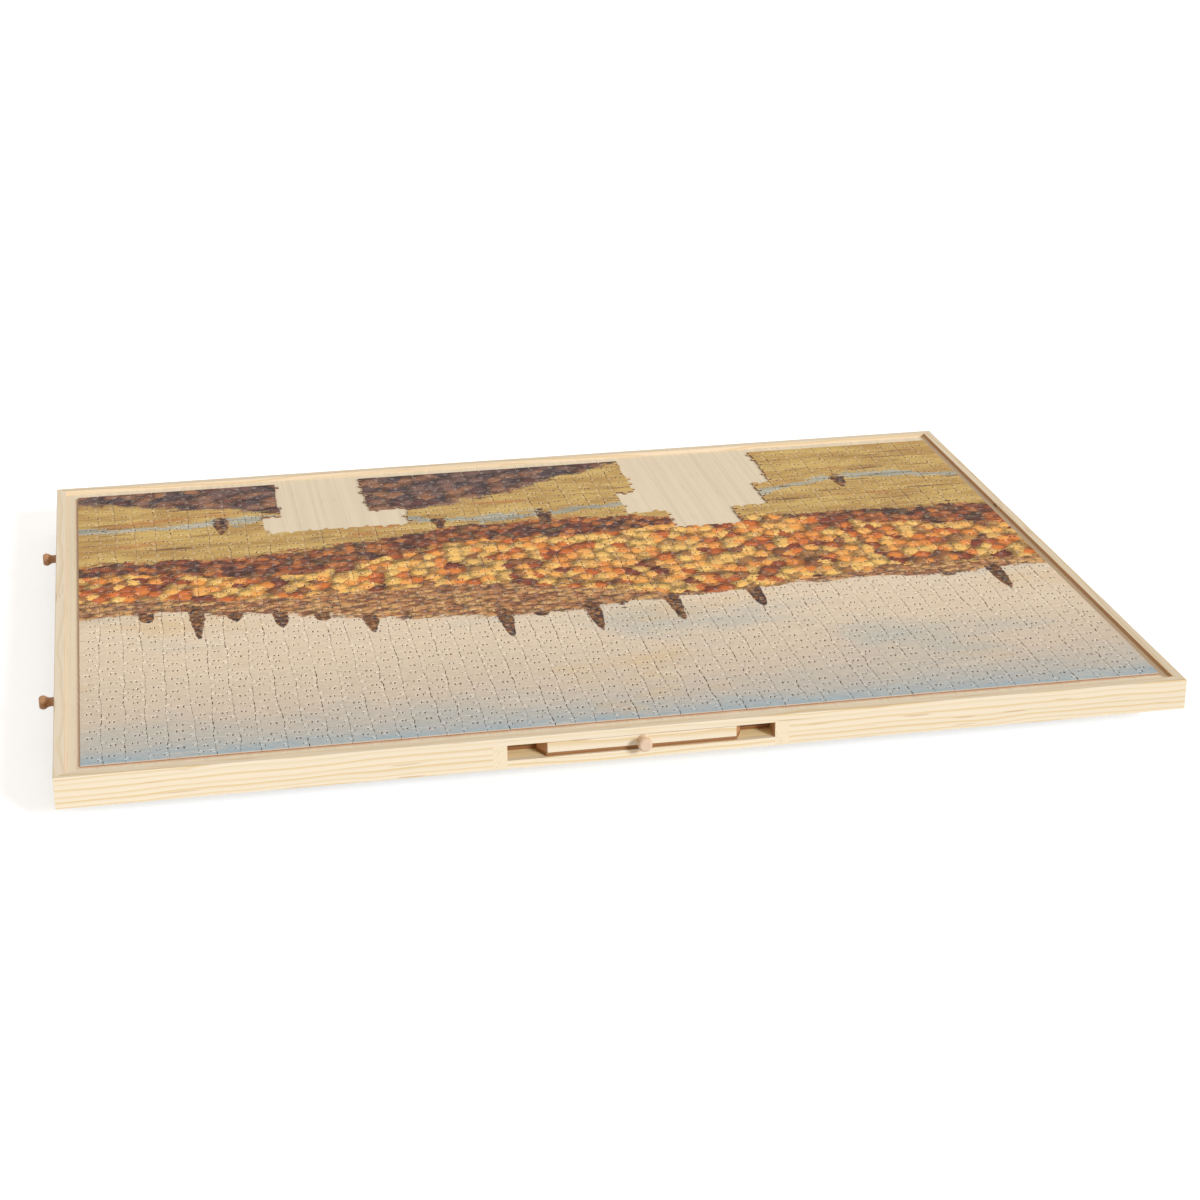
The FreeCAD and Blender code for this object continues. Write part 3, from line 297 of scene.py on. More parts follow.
def plywood(name, axis, base, ply, seed, plies=PLIES, face=PLY_FACE, shadow_caster=None):
    """Light raw plywood whose face grain runs along an axis; its plies show at the edges.
    The last argument is the box of a thing that lies on it; next to that box the face gets a painted brown shadow."""
    streaked = tuple(value * 0.95 for value in face)
    paint = Paint(name)
    long_way = [2.0 if index == axis else 260.0 for index in range(3)]
    lines = paint.noise(paint.stretch(paint.place, long_way, (seed, 0.0, 0.0)), 1.0, 3.0, 0.6)
    wide = [0.9 if index == axis else 60.0 for index in range(3)]
    bands = paint.noise(paint.stretch(paint.place, wide, (0.0, seed, 0.0)), 1.0, 3.0, 0.55)
    tone = paint.noise(paint.place, 5.0, 2.0)
    colour = paint.mix(paint.step(lines, 0.42, 0.72), face, streaked)
    colour = paint.mix(paint.math("MULTIPLY", paint.step(bands, 0.5, 0.66), 0.5), colour, streaked)
    pink = paint.math("MULTIPLY", paint.step(bands, 0.46, 0.3), 0.4)
    colour = paint.mix(pink, colour, (236, 214, 190))
    colour = paint.shade(colour, 0.95, 1.04, tone)
    dashes = [30.0 if index == axis else 900.0 for index in range(3)]
    pores = paint.noise(paint.stretch(paint.place, dashes, (seed, seed, 0.0)), 1.0, 0.0)
    flecks = paint.math("MULTIPLY", paint.step(pores, 0.7, 0.8), 0.15)
    colour = paint.mix(flecks, colour, (184, 150, 112))
    # Painted shadow of the thing lying on the panel, in brown.
    if shadow_caster:
        brown = paint.math("MULTIPLY", painted_shadow_share(paint, *shadow_caster), paint.step(bands, 0.1, 0.6))
        colour = paint.mix(brown, colour, (196, 140, 92))
    layers = paint.math("DIVIDE", paint.math("SUBTRACT", paint.split(paint.place)[2], base), ply)
    dark_ply = paint.step(paint.math("PINGPONG", layers, 1.0), 0.42, 0.58)
    edge_noise = paint.noise(paint.stretch(paint.place, (300.0, 300.0, 900.0)), 1.0, 2.0)
    edge = paint.mix(dark_ply, *plies)
    edge = paint.shade(edge, 0.86, 1.1, edge_noise)
    side = paint.step(paint.math("ABSOLUTE", paint.split(paint.facing)[2]), 0.6, 0.4)
    colour = paint.mix(side, colour, edge)
    roughness = paint.math("MULTIPLY_ADD", lines, 0.14, 0.7)
    return paint.finish(colour, roughness, lines, 0.0001, 0.5, Specular_IOR_Level=0.15)


def painted_shadow_share(paint, low, high):
    """How far plywood gets a painted shadow next to the left, front and right of a box, and nowhere inside it."""
    x, y, z = paint.split(paint.place)
    sideways = paint.math("ABSOLUTE", paint.math("SUBTRACT", x, (low.x + high.x) / 2))
    sideways = paint.math("SUBTRACT", sideways, (high.x - low.x) / 2)
    forward = paint.math("SUBTRACT", low.y, y)
    outside = paint.math("MAXIMUM", sideways, forward)
    near = paint.step(outside, 4.5 * MM, 0.6 * MM)
    near = paint.math("MULTIPLY", near, paint.step(outside, 0.1 * MM, 0.5 * MM))
    near = paint.math("MULTIPLY", near, paint.math("LESS_THAN", y, high.y))
    return paint.math("MULTIPLY", near, 0.6)


def turned_wood(name, axis, middle, seed, colours):
    """A small turned knob: fine beech grain along its axis, with faint tool rings."""
    paint = Paint(name)
    long_way = [90.0 if index == axis else 700.0 for index in range(3)]
    lines = paint.noise(paint.stretch(paint.place, long_way, (seed, 0.0, seed)), 1.0, 3.0, 0.6, 0.4)
    tone = paint.noise(paint.place, 120.0, 2.0)
    colour = paint.mix(paint.step(lines, 0.4, 0.7), colours["early"], colours["late"])
    colour = paint.shade(colour, 0.9, 1.08, tone)
    end = paint.step(paint.math("ABSOLUTE", paint.split(paint.facing)[axis]), 0.7, 0.95)
    offset = paint.stretch(paint.place, (1.0, 1.0, 1.0), tuple(-value for value in middle))
    sides = [part for index, part in enumerate(paint.split(offset)) if index != axis]
    squares = [paint.math("MULTIPLY", side, side) for side in sides]
    radius = paint.math("SQRT", paint.math("ADD", *squares))
    rings = paint.math("SINE", paint.math("MULTIPLY", radius, 9000.0))
    specks = paint.step(paint.cells(paint.place, 1600.0), 0.3, 0.14)
    ends = paint.mix(paint.math("MULTIPLY", specks, 0.25), colours["end"], (176, 130, 94))
    ends = paint.shade(ends, 0.96, 1.03, paint.math("MULTIPLY_ADD", rings, 0.5, 0.5))
    colour = paint.mix(end, colour, ends)
    height = paint.math("ADD", lines, paint.math("MULTIPLY", rings, 0.12))
    return paint.finish(colour, 0.46, height, 0.00008, 0.5)


# Metal and rubber


def plated_steel(name, colour, scratch_axis=0):
    """Zinc plated sheet with fine rolling lines and a cloudy sheen."""
    paint = Paint(name)
    lines = [12.0 if index == scratch_axis else 1800.0 for index in range(3)]
    scratches = paint.noise(paint.stretch(paint.place, lines), 1.0, 2.0, 0.6)
    clouds = paint.noise(paint.place, 60.0, 4.0, 0.6)
    tint = paint.shade(paint.mix(clouds, colour, (206, 204, 190)), 0.88, 1.05, scratches)
    roughness = paint.math("MULTIPLY_ADD", clouds, 0.22, 0.22)
    return paint.finish(tint, roughness, scratches, 0.00003, 0.5, Metallic=1.0)


def screw_steel(name):
    """Bright screws with a little dirt."""
    paint = Paint(name)
    clouds = paint.noise(paint.place, 420.0, 3.0, 0.6)
    tint = paint.mix(clouds, (196, 194, 188), (168, 164, 156))
    roughness = paint.math("MULTIPLY_ADD", clouds, 0.2, 0.2)
    return paint.finish(tint, roughness, clouds, 0.00003, 0.4, Metallic=1.0)


def ball_steel(name):
    """Polished balls, greased."""
    paint = Paint(name)
    film = paint.noise(paint.place, 500.0, 2.0)
    tint = paint.mix(film, (222, 222, 224), (196, 194, 186))
    roughness = paint.math("MULTIPLY_ADD", film, 0.12, 0.06)
    return paint.finish(tint, roughness, film, 0.00001, 0.3, Metallic=1.0)


def foot_rubber(name):
    """Grey-black rubber with a moulded grain."""
    paint = Paint(name)
    grain = paint.noise(paint.place, 1500.0, 3.0, 0.6)
    dust = paint.noise(paint.place, 160.0, 3.0, 0.6)
    tint = paint.mix(paint.step(dust, 0.5, 0.8), (42, 42, 44), (74, 72, 70))
    roughness = paint.math("MULTIPLY_ADD", grain, 0.2, 0.62)
    return paint.finish(tint, roughness, grain, 0.00006, 0.7)


def paint_node(node, material):
    """Gives a CAD node its material."""
    piece = nodes[node]
    if piece.material_slots:
        for slot in piece.material_slots:
            slot.material = material
    else:
        piece.data.materials.append(material)


def centre(node):
    low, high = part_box(node)
    return tuple((low + high) / 2)


X, Y, Z = 0, 1, 2

right_low, right_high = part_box("frame_right")
right_knot = (
    (right_low.x, 0.115, right_high.z - 0.003),
    (0.004, 0.0052, 0.0022),
)
LEFTWARD, RIGHTWARD, FORWARD, BACKWARD = (-1, 0, 0), (1, 0, 0), (0, -1, 0), (0, 1, 0)
# The last entry of a row, where given, is the way, share and brown of the painted shade on that side.
PINE_PIECES = [
    ("frame_front", X, (0.031, -0.064), 1.0, PINE, 0.0046, None, (BACKWARD, 0.3, INNER_SIDE_SHADE)),
    ("frame_back", X, (-0.05, -0.07), 2.0, PINE, 0.005, None, (FORWARD, 0.1, INNER_SIDE_SHADE)),
    ("frame_left", Y, (-0.04, -0.08), 3.4, PALEST_PINE, 0.0038, None, (RIGHTWARD, 0.3, INNER_SIDE_SHADE)),
    ("frame_right", Y, (0.06, -0.05), 4.0, PINE, 0.0042, right_knot, (LEFTWARD, 0.75, INNER_SIDE_SHADE)),
    ("front_sill", X, (0.03, -0.05), 5.0, PINE, 0.0042, None),
    ("guide_rail_left", Y, (-0.03, -0.02), 6.0, PLAIN_PINE, 0.0032, None, (RIGHTWARD, 0.7, INNER_SIDE_SHADE)),
    ("guide_rail_right", Y, (0.03, -0.02), 7.0, PLAIN_PINE, 0.0032, None, (LEFTWARD, 0.8, INNER_SIDE_SHADE)),
    ("guide_front_outer", X, (-0.04, -0.02), 8.0, PLAIN_PINE, 0.0036, None),
    ("guide_front_inner", X, (0.04, -0.03), 9.0, PLAIN_PINE, 0.0034, None),
    ("guide_back_inner", X, (-0.05, 0.02), 10.0, PLAIN_PINE, 0.004, None),
    ("guide_back_outer", X, (0.03, 0.04), 11.0, PLAIN_PINE, 0.0038, None),
    ("stiffener_front", X, (0.03, -0.04), 12.0, PLAIN_PINE, 0.0036, None),
    ("stiffener_back", X, (-0.03, -0.04), 13.0, PLAIN_PINE, 0.004, None),
    ("left_front_stop", Y, (0.02, -0.04), 14.0, PLAIN_PINE, 0.003, None),
    ("left_back_stop", Y, (-0.02, -0.04), 15.0, PLAIN_PINE, 0.003, None),
    ("front_stop", X, (0.02, -0.03), 16.0, PLAIN_PINE, 0.003, None),
]
for drawer, out, side, outward, seed in (
    ("front_drawer", Y, X, FORWARD, 20.0),
    ("left_front_drawer", X, Y, LEFTWARD, 30.0),
    ("left_back_drawer", X, Y, LEFTWARD, 40.0),
):
    # Each drawer wall's outward side gets the painted deep shade.
    shaded_front = (outward, 0.9, DEEP_SHADE_BROWN)
    PINE_PIECES += [
        (f"{drawer}_face", side, (0.05, -0.03), seed, FACE_PINE, 0.0044, None),
        (f"{drawer}_wall", side, (-0.04, -0.03), seed + 1, PLAIN_PINE, 0.0036, None, shaded_front),
        (f"{drawer}_side_left", out, (-0.03, -0.03), seed + 2, PLAIN_PINE, 0.0032, None),
        (f"{drawer}_side_right", out, (0.03, -0.03), seed + 3, PLAIN_PINE, 0.0032, None),
        (f"{drawer}_back", side, (0.03, 0.04), seed + 4, PLAIN_PINE, 0.0036, None),
    ]
for node, axis, *look in PINE_PIECES:
    paint_node(node, pine(f"pine_{node}", axis, centre(node), *look))

PLY_PIECES = [
    # The work panel gets a painted shadow next to the laid puzzle.
    ("work_panel", Y, 3, 1.0, PLIES, PLY_FACE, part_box("jigsaw_puzzle")),
    ("bottom_left", X, 3, 2.0),
    # Painted light: this face is brighter and yellower than the other plywood, for the lit floor inside the front slot.
    ("bottom_middle", X, 3, 3.0, PLIES, (255, 230, 176)),
    ("bottom_right", X, 3, 4.0),
    ("bearing_pad", X, 5, 5.0),
    ("base_disc", X, 7, 6.0),
    # The drawer bottoms' edges take the painted-shade plies.
    ("front_drawer_bottom", X, 3, 7.0, SHADED_PLIES),
    ("left_front_drawer_bottom", Y, 3, 8.0, SHADED_PLIES),
    ("left_back_drawer_bottom", Y, 3, 9.0, SHADED_PLIES),
]
for node, axis, layers, *look in PLY_PIECES:
    low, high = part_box(node)
    paint_node(node, plywood(f"ply_{node}", axis, low.z, (high.z - low.z) / layers, *look))

# The side drawers' knobs take the darker, painted-shade copy of the beech.
for knob, axis, seed, colours in (
    ("front_drawer_knob", Y, 1.0, PALE_BEECH),
    ("left_front_drawer_knob", X, 2.0, SHADED_BEECH),
    ("left_back_drawer_knob", X, 3.0, SHADED_BEECH),
):
    paint_node(knob, turned_wood(f"turned_{knob}", axis, centre(knob), seed, colours))

sheet_steel = plated_steel("sheet_steel", (188, 190, 188))
cage_steel = plated_steel("cage_steel", (204, 190, 150), 1)
bright_screws = screw_steel("bright_screws")
paint_node("bearing_upper_plate", sheet_steel)
paint_node("bearing_lower_plate", sheet_steel)
paint_node("ball_cage", cage_steel)
paint_node("bearing_balls", ball_steel("polished_balls"))
for node in ("upper_plate_screws", "lower_plate_screws", "foot_screws"):
    paint_node(node, bright_screws)
for drawer in ("front_drawer", "left_front_drawer", "left_back_drawer"):
    paint_node(f"{drawer}_knob_screw", bright_screws)
rubber = foot_rubber("foot_rubber")
paint_node("base_feet", rubber)
paint_node("centre_foot", rubber)


# The laid jigsaw: each piece is die cut, with a tab or a socket on every side that has a neighbour

COLUMNS, ROWS = 50, 40
# First column, columns, first row from the back, rows
EMPTY_CELLS = [(11, 5, 0, 6), (10, 8, 6, 3), (31, 8, 0, 6), (30, 8, 6, 4), (32, 4, 10, 3)]
# One cut from corner to corner: share of the way, and sideways as a share of the length
CUT = [
    (0.0, 0.0), (0.2, -0.012), (0.35, -0.014), (0.41, 0.045), (0.378, 0.12), (0.405, 0.205),
    (0.5, 0.24), (0.595, 0.205), (0.622, 0.12), (0.59, 0.045), (0.65, -0.014), (0.8, -0.012),
    (1.0, 0.0),
]
# How loose a cut is at each of those points: where it is None, the cut has a looseness of its own
LOOSE = [None, None, 0.45, 1.0, 1.0, 0.55, 0.4, 0.55, 1.0, 1.0, 0.45, None, None]
# Half of the gap, the shoulder's width and its drop: at a tight cut, and what a loose one adds
TIGHT_GAP, LOOSE_GAP = 0.03 * MM, 0.54 * MM
TIGHT_WIDTH, LOOSE_WIDTH = 0.2 * MM, 0.3 * MM
TIGHT_DROP, LOOSE_DROP = 0.08 * MM, 0.7 * MM

puzzle_low, puzzle_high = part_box("jigsaw_puzzle")
piece_width = (puzzle_high.x - puzzle_low.x) / COLUMNS
piece_depth = (puzzle_high.y - puzzle_low.y) / ROWS


def laid_cells():
    """The (column, row) of every laid piece; rows count from the front."""
    empty = set()
    for column, columns, row, rows in EMPTY_CELLS:
        for across in range(columns):
            for down in range(rows):
                empty.add((column + across, ROWS - 1 - row - down))
    return [
        (column, row)
        for column in range(COLUMNS)
        for row in range(ROWS)
        if (column, row) not in empty
    ]


def cut_lines(starts, ends, straight, slackest, dice):
    """Cuts from starts to ends, with tabs to either side; the straight ones have none. Each
    point is x, y and how loose the cut is there, which is up to slackest between the tabs."""
    count = starts.shape[:-1]
    way = ends - starts
    aside = np.stack([-way[..., 1], way[..., 0]], -1)
    side = np.where(dice.random(count) < 0.5, -1.0, 1.0)
    size = dice.uniform(0.86, 1.1, count)
    middle = dice.uniform(-0.11, 0.11, count)
    lean = dice.uniform(-0.28, 0.28, count)
    bow = dice.uniform(-0.035, 0.035, count)
    keep = np.broadcast_to(np.where(straight, 0.0, 1.0), count)
    slack = dice.uniform(0.0, 1.0, count) ** 2 * slackest
    necks = dice.uniform(0.6, 1.2, (2, *count)) * keep
    points = []
    for index, (share, out) in enumerate(CUT):
        tab = max(0.0, min(1.0, (0.5 - abs(share - 0.5)) / 0.3))
        even = index / (len(CUT) - 1)
        moved = share + tab * (middle + (share - 0.5) * (size - 1) + lean * max(out, 0) * 0.5)
        along = even + keep * (moved - even)
        across = keep * (side * out * size + bow * 4 * share * (1 - share))
        neck = necks[0] if share < 0.5 else necks[1]
        loose = slack if LOOSE[index] is None else LOOSE[index] * neck
        point = starts + along[..., None] * way + across[..., None] * aside
        points.append(np.concatenate([point, loose[..., None]], -1))
    return np.stack(points, -2)


def piece_outlines():
    """Each cell's outline, anticlockwise: [column, row, point] gives x, y and the looseness."""
    dice = np.random.default_rng(11)
    corners = np.zeros((COLUMNS + 1, ROWS + 1, 2))
    corners[..., 0] = puzzle_low.x + piece_width * np.arange(COLUMNS + 1)[:, None]
    corners[..., 1] = puzzle_low.y + piece_depth * np.arange(ROWS + 1)[None, :]
    jitter = dice.uniform(-1, 1, corners.shape) * np.array([0.9, 0.8]) * MM
    swing = np.cumsum(dice.normal(0, 0.45 * MM, (COLUMNS + 1, ROWS + 1)), axis=1)
    jitter[..., 0] += swing - swing.mean(1, keepdims=True)
    jitter[0, :, 0] = jitter[-1, :, 0] = 0
    jitter[:, 0, 1] = jitter[:, -1, 1] = 0
    corners += jitter
    rims = np.isin(np.arange(ROWS + 1), (0, ROWS))[None, :]
    row_cuts = cut_lines(corners[:-1], corners[1:], rims, 0.2, dice)
    rims = np.isin(np.arange(COLUMNS + 1), (0, COLUMNS))[:, None]
    column_cuts = cut_lines(corners[:, :-1], corners[:, 1:], rims, 0.8, dice)
    return np.concatenate(
        [
            row_cuts[:, :-1, :-1],
            column_cuts[1:, :, :-1],
            row_cuts[:, 1:, :0:-1],
            column_cuts[:-1, :, :0:-1],
        ],
        axis=2,
    )


def inset(outline, width):
    """The outlines moved inwards by a width."""
    way = np.roll(outline, -1, axis=-2) - np.roll(outline, 1, axis=-2)
    inward = np.stack([-way[..., 1], way[..., 0]], -1)
    inward /= np.linalg.norm(inward, axis=-1, keepdims=True)
    return outline + inward * width


def jigsaw_block(name, cells, outlines, dice, looks):
    """One object of laid pieces: flat top, rounded shoulder, straight sides, closed below."""
    picked = outlines[[cell[0] for cell in cells], [cell[1] for cell in cells]]
    chosen, loose = picked[..., :2], picked[..., 2:]
    pieces, points = chosen.shape[:2]
    shift = dice.normal(0, 0.05 * MM, (pieces, 1, 2)).clip(-0.1 * MM, 0.1 * MM)
    gap = TIGHT_GAP + LOOSE_GAP * loose
    foot_ring = inset(chosen, gap) + shift
    wall_ring = inset(chosen, gap + 0.02 * MM) + shift
    top_ring = inset(chosen, gap + TIGHT_WIDTH + LOOSE_WIDTH * loose) + shift
    drop = (TIGHT_DROP + LOOSE_DROP * loose)[..., 0]
    sunk = dice.uniform(0, 0.1, (pieces, 1)) * MM
    tilt = dice.normal(0, 0.005, (pieces, 1, 2))
    middle = chosen.mean(1, keepdims=True)
    lean = ((top_ring - middle) * tilt).sum(-1)
    top = puzzle_high.z - 0.08 * MM - sunk + lean.clip(-0.12 * MM, 0.07 * MM)
    low = np.full((pieces, points), puzzle_low.z)
    rings = np.stack(
        [
            np.concatenate([foot_ring, low[..., None]], -1),
            np.concatenate([wall_ring, (top - drop)[..., None]], -1),
            np.concatenate([top_ring, top[..., None]], -1),
        ],
        axis=1,
    )
    step = 3 * points
    here = np.arange(points)
    onward = np.roll(here, -1)
    wall = np.stack([here, onward, onward + points, here + points], -1)
    shoulder = wall + points
    faces = []
    for piece in range(pieces):
        start = piece * step
        faces.append((start + here[::-1]).tolist())
        faces.extend((start + wall).tolist())
        faces.extend((start + shoulder).tolist())
        faces.append((start + 2 * points + here).tolist())
    mesh = bpy.data.meshes.new(name)
    mesh.from_pydata(rings.reshape(-1, 3), [], faces)
    for look in looks:
        mesh.materials.append(look)
    places = [0] * (points + 1) + [1] * points + [2]
    mesh.polygons.foreach_set("material_index", places * pieces)
    mesh.update()
    piece = bpy.data.objects.new(name, mesh)
    bpy.context.scene.collection.objects.link(piece)
    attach(piece, "tray")
    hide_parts("jigsaw_puzzle")
    return piece


def picture_print(name, scuff_and_highlight):
    """The printed face: a made-up landscape of autumn woods and meadows under a pale sky.
    The second argument is how far the face is paled: partly the white of the board at the cut, partly a painted
    highlight on the rounded shoulders."""
    paint = Paint(name)
    x, y, _ = paint.split(paint.place)
    width, depth = puzzle_high.x - puzzle_low.x, puzzle_high.y - puzzle_low.y
    s = paint.math("DIVIDE", paint.math("SUBTRACT", x, puzzle_low.x), width)
    t = paint.math("DIVIDE", paint.math("SUBTRACT", y, puzzle_low.y), depth)

    def texture(across, along, seed, detail=3.0, roughness=0.6):
        """Noise with so many waves a metre across and along the board."""
        shift = (seed * 1.7, seed * 3.1, seed)
        return paint.noise(paint.stretch(paint.place, (across, along, 0.0), shift), 1.0, detail, roughness)

    smear = texture(14.0, 40.0, 0.0, 4.0)
    dab = texture(130.0, 230.0, 3.0, 2.0)
    speck = texture(420.0, 700.0, 0.0, 1.0)
    strokes = texture(9.0, 110.0, 4.0, 4.0, 0.65)
    level = paint.math("ADD", t, paint.math("MULTIPLY_ADD", smear, 0.07, -0.035))
    level = paint.math("ADD", level, paint.math("MULTIPLY_ADD", dab, 0.03, -0.015))

    sky = paint.ramp(
        paint.math("MULTIPLY", level, 1.6),
        [
            (0.0, (172, 186, 192)),
            (0.07, (200, 194, 184)),
            (0.2, (220, 203, 182)),
            (0.45, (234, 214, 188)),
            (0.7, (240, 220, 194)),
            (1.0, (242, 221, 192)),
        ],
    )
    cool = paint.step(texture(3.4, 6.0, 5.0, 4.0), 0.5, 0.7)
    sky = paint.mix(paint.math("MULTIPLY", cool, 0.7), sky, (190, 194, 188))
    warm = paint.step(texture(4.2, 7.0, 9.0, 4.0), 0.54, 0.72)
    sky = paint.mix(paint.math("MULTIPLY", warm, 0.6), sky, (228, 196, 146))
    veil = paint.step(texture(9.0, 26.0, 12.0, 5.0, 0.65), 0.55, 0.75)
    sky = paint.mix(paint.math("MULTIPLY", veil, 0.45), sky, (242, 226, 202))
    sky = paint.shade(sky, 0.93, 1.06, strokes)

    def ridge(base, swells, rough, seed):
        """The height of a hill line along the picture."""
        line = base
        for size, turns, start in swells:
            wave = paint.math("SINE", paint.math("MULTIPLY_ADD", s, turns * math.tau, start))
            line = paint.math("MULTIPLY_ADD", wave, size, line)
        crumble = paint.noise(paint.join(paint.math("MULTIPLY", s, 34.0), seed, 0.0), 1.0, 4.0, 0.65)
        return paint.math("MULTIPLY_ADD", crumble, rough, line)

    def below(line, soft=0.004):
        """1 on the ground under a line; the picture's upper edge lies at the tray's front."""
        return paint.step(paint.math("SUBTRACT", level, line), -soft, soft)

    def foliage(across, along, seed, colours):
        """Round crowns side by side, so many a metre; each has a colour and is lighter on top."""
        bend = paint.math("MULTIPLY_ADD", dab, 1.1, -0.55)
        spot_x, spot_y, _ = paint.split(
            paint.stretch(paint.place, (across, along, 0.0), (seed, seed * 2.3, 0.0))
        )
        spot_x, spot_y = paint.math("ADD", spot_x, bend), paint.math("ADD", spot_y, bend)
        distance = paint.cells(paint.join(spot_x, spot_y, 0.0), 1.0, True)
        crown = distance.node.outputs
        colour = paint.ramp(paint.split(crown["Color"])[0], colours)
        rise = paint.math("SUBTRACT", paint.split(crown["Position"])[1], spot_y)
        colour = paint.shade(colour, 0.7, 1.25, paint.math("MULTIPLY_ADD", rise, 0.9, 0.5))
        return paint.shade(colour, 0.5, 1.15, paint.step(distance, 0.66, 0.3))

    def poplars(count, line, tall, wide, seed):
        """Slender trees that rise from a line, here and there."""
        turns = paint.math("MULTIPLY_ADD", s, float(count), seed)
        luck = paint.chance(paint.math("FLOOR", turns))
        aside = paint.math("MULTIPLY_ADD", luck, -0.4, paint.math("FRACT", turns))
        aside = paint.math("MULTIPLY", paint.math("SUBTRACT", aside, 0.3), width / depth / count)
        aside = paint.math("DIVIDE", aside, wide)
        reach = paint.math("MULTIPLY_ADD", paint.step(luck, 0.35, 0.9), tall, 0.002)
        rise = paint.math("DIVIDE", paint.math("SUBTRACT", line, level), reach)
        rise = paint.math("MULTIPLY_ADD", rise, 1.6, -0.6)
        aside = paint.math("MULTIPLY", aside, paint.math("MULTIPLY_ADD", rise, 0.55, 1.1))
        spread = paint.math(
            "ADD", paint.math("MULTIPLY", aside, aside), paint.math("MULTIPLY", rise, rise)
        )
        spread = paint.math("ADD", spread, paint.math("MULTIPLY_ADD", dab, 1.2, -0.6))
        return paint.step(spread, 1.1, 0.8)

    far = ridge(0.42, [(0.05, 0.62, 2.4), (0.02, 1.7, 0.4)], 0.03, 1.0)
    slope = ridge(0.46, [(0.055, 0.8, 1.0), (0.02, 2.3, 2.0)], 0.03, 5.0)
    woods = ridge(0.62, [(0.045, 1.1, 3.6), (0.02, 2.9, 0.7)], 0.06, 9.0)
    meadow = ridge(0.69, [(0.035, 0.9, 5.0), (0.015, 2.1, 1.7)], 0.03, 13.0)
    stream = ridge(0.80, [(0.035, 1.2, 0.6), (0.015, 3.3, 2.4)], 0.02, 15.0)
    near = ridge(0.93, [(0.10, 0.75, 3.4), (0.03, 1.6, 1.0)], 0.06, 17.0)

    hills = foliage(
        110.0, 150.0, 8.0, [(0.0, (134, 84, 62)), (0.4, (190, 132, 86)), (0.75, (218, 170, 110)), (1.0, (150, 104, 78))]
    )
    autumn = foliage(
        74.0,
        62.0,
        3.0,
        [
            (0.04, (130, 64, 44)),
            (0.16, (212, 114, 54)),
            (0.36, (242, 164, 82)),
            (0.62, (246, 198, 112)),
            (0.82, (228, 180, 104)),
            (0.97, (146, 92, 56)),
        ],
    )
    dusk = foliage(
        90.0, 84.0, 5.0, [(0.1, (92, 56, 48)), (0.4, (150, 80, 50)), (0.7, (198, 122, 66)), (0.95, (104, 78, 56))]
    )
    scrub = foliage(
        60.0, 66.0, 14.0, [(0.1, (84, 66, 66)), (0.4, (128, 96, 86)), (0.7, (160, 112, 82)), (0.95, (98, 62, 56))]
    )
    shade = foliage(
        200.0, 170.0, 9.0, [(0.1, (74, 50, 44)), (0.5, (122, 78, 52)), (0.8, (164, 112, 66)), (1.0, (96, 78, 52))]
    )
    grass = paint.mix(paint.step(smear, 0.35, 0.65), (218, 184, 112), (190, 150, 88))
    grass = paint.mix(paint.math("MULTIPLY", paint.step(strokes, 0.56, 0.68), 0.85), grass, (122, 86, 58))
    grass = paint.mix(paint.math("MULTIPLY", paint.step(strokes, 0.42, 0.3), 0.7), grass, (234, 206, 132))
    blush = paint.step(texture(7.0, 30.0, 31.0), 0.56, 0.7)
    grass = paint.mix(paint.math("MULTIPLY", blush, 0.6), grass, (196, 118, 66))
    grass = paint.shade(grass, 0.8, 1.2, texture(60.0, 150.0, 37.0, 3.0, 0.7))
    water = paint.mix(paint.step(strokes, 0.4, 0.6), (196, 190, 170), (160, 158, 142))
    shore = paint.math("ABSOLUTE", paint.math("SUBTRACT", level, stream))

    colour = paint.mix(below(far), sky, hills)
    colour = paint.mix(poplars(23, far, 0.085, 0.011, 4.0), colour, shade)
    colour = paint.mix(below(slope), colour, autumn)
    colour = paint.mix(below(woods, 0.006), colour, dusk)
    colour = paint.mix(below(meadow), colour, grass)
    colour = paint.mix(paint.step(shore, 0.013, 0.009), colour, water)
    colour = paint.mix(poplars(17, stream, 0.05, 0.012, 11.0), colour, shade)
    colour = paint.mix(below(near, 0.008), colour, scrub)
    colour = paint.shade(colour, 0.84, 1.16, dab)
    colour = paint.shade(colour, 0.8, 1.2, speck)
    # Paler by that share: the board's white at the cut edge and a painted highlight on the shoulders.
    colour = paint.mix(scuff_and_highlight, colour, (236, 228, 214))
    roughness = paint.math("MULTIPLY_ADD", speck, 0.14, 0.6)
    return paint.finish(colour, roughness, dab, 0.00004, 0.4, Specular_IOR_Level=0.2)


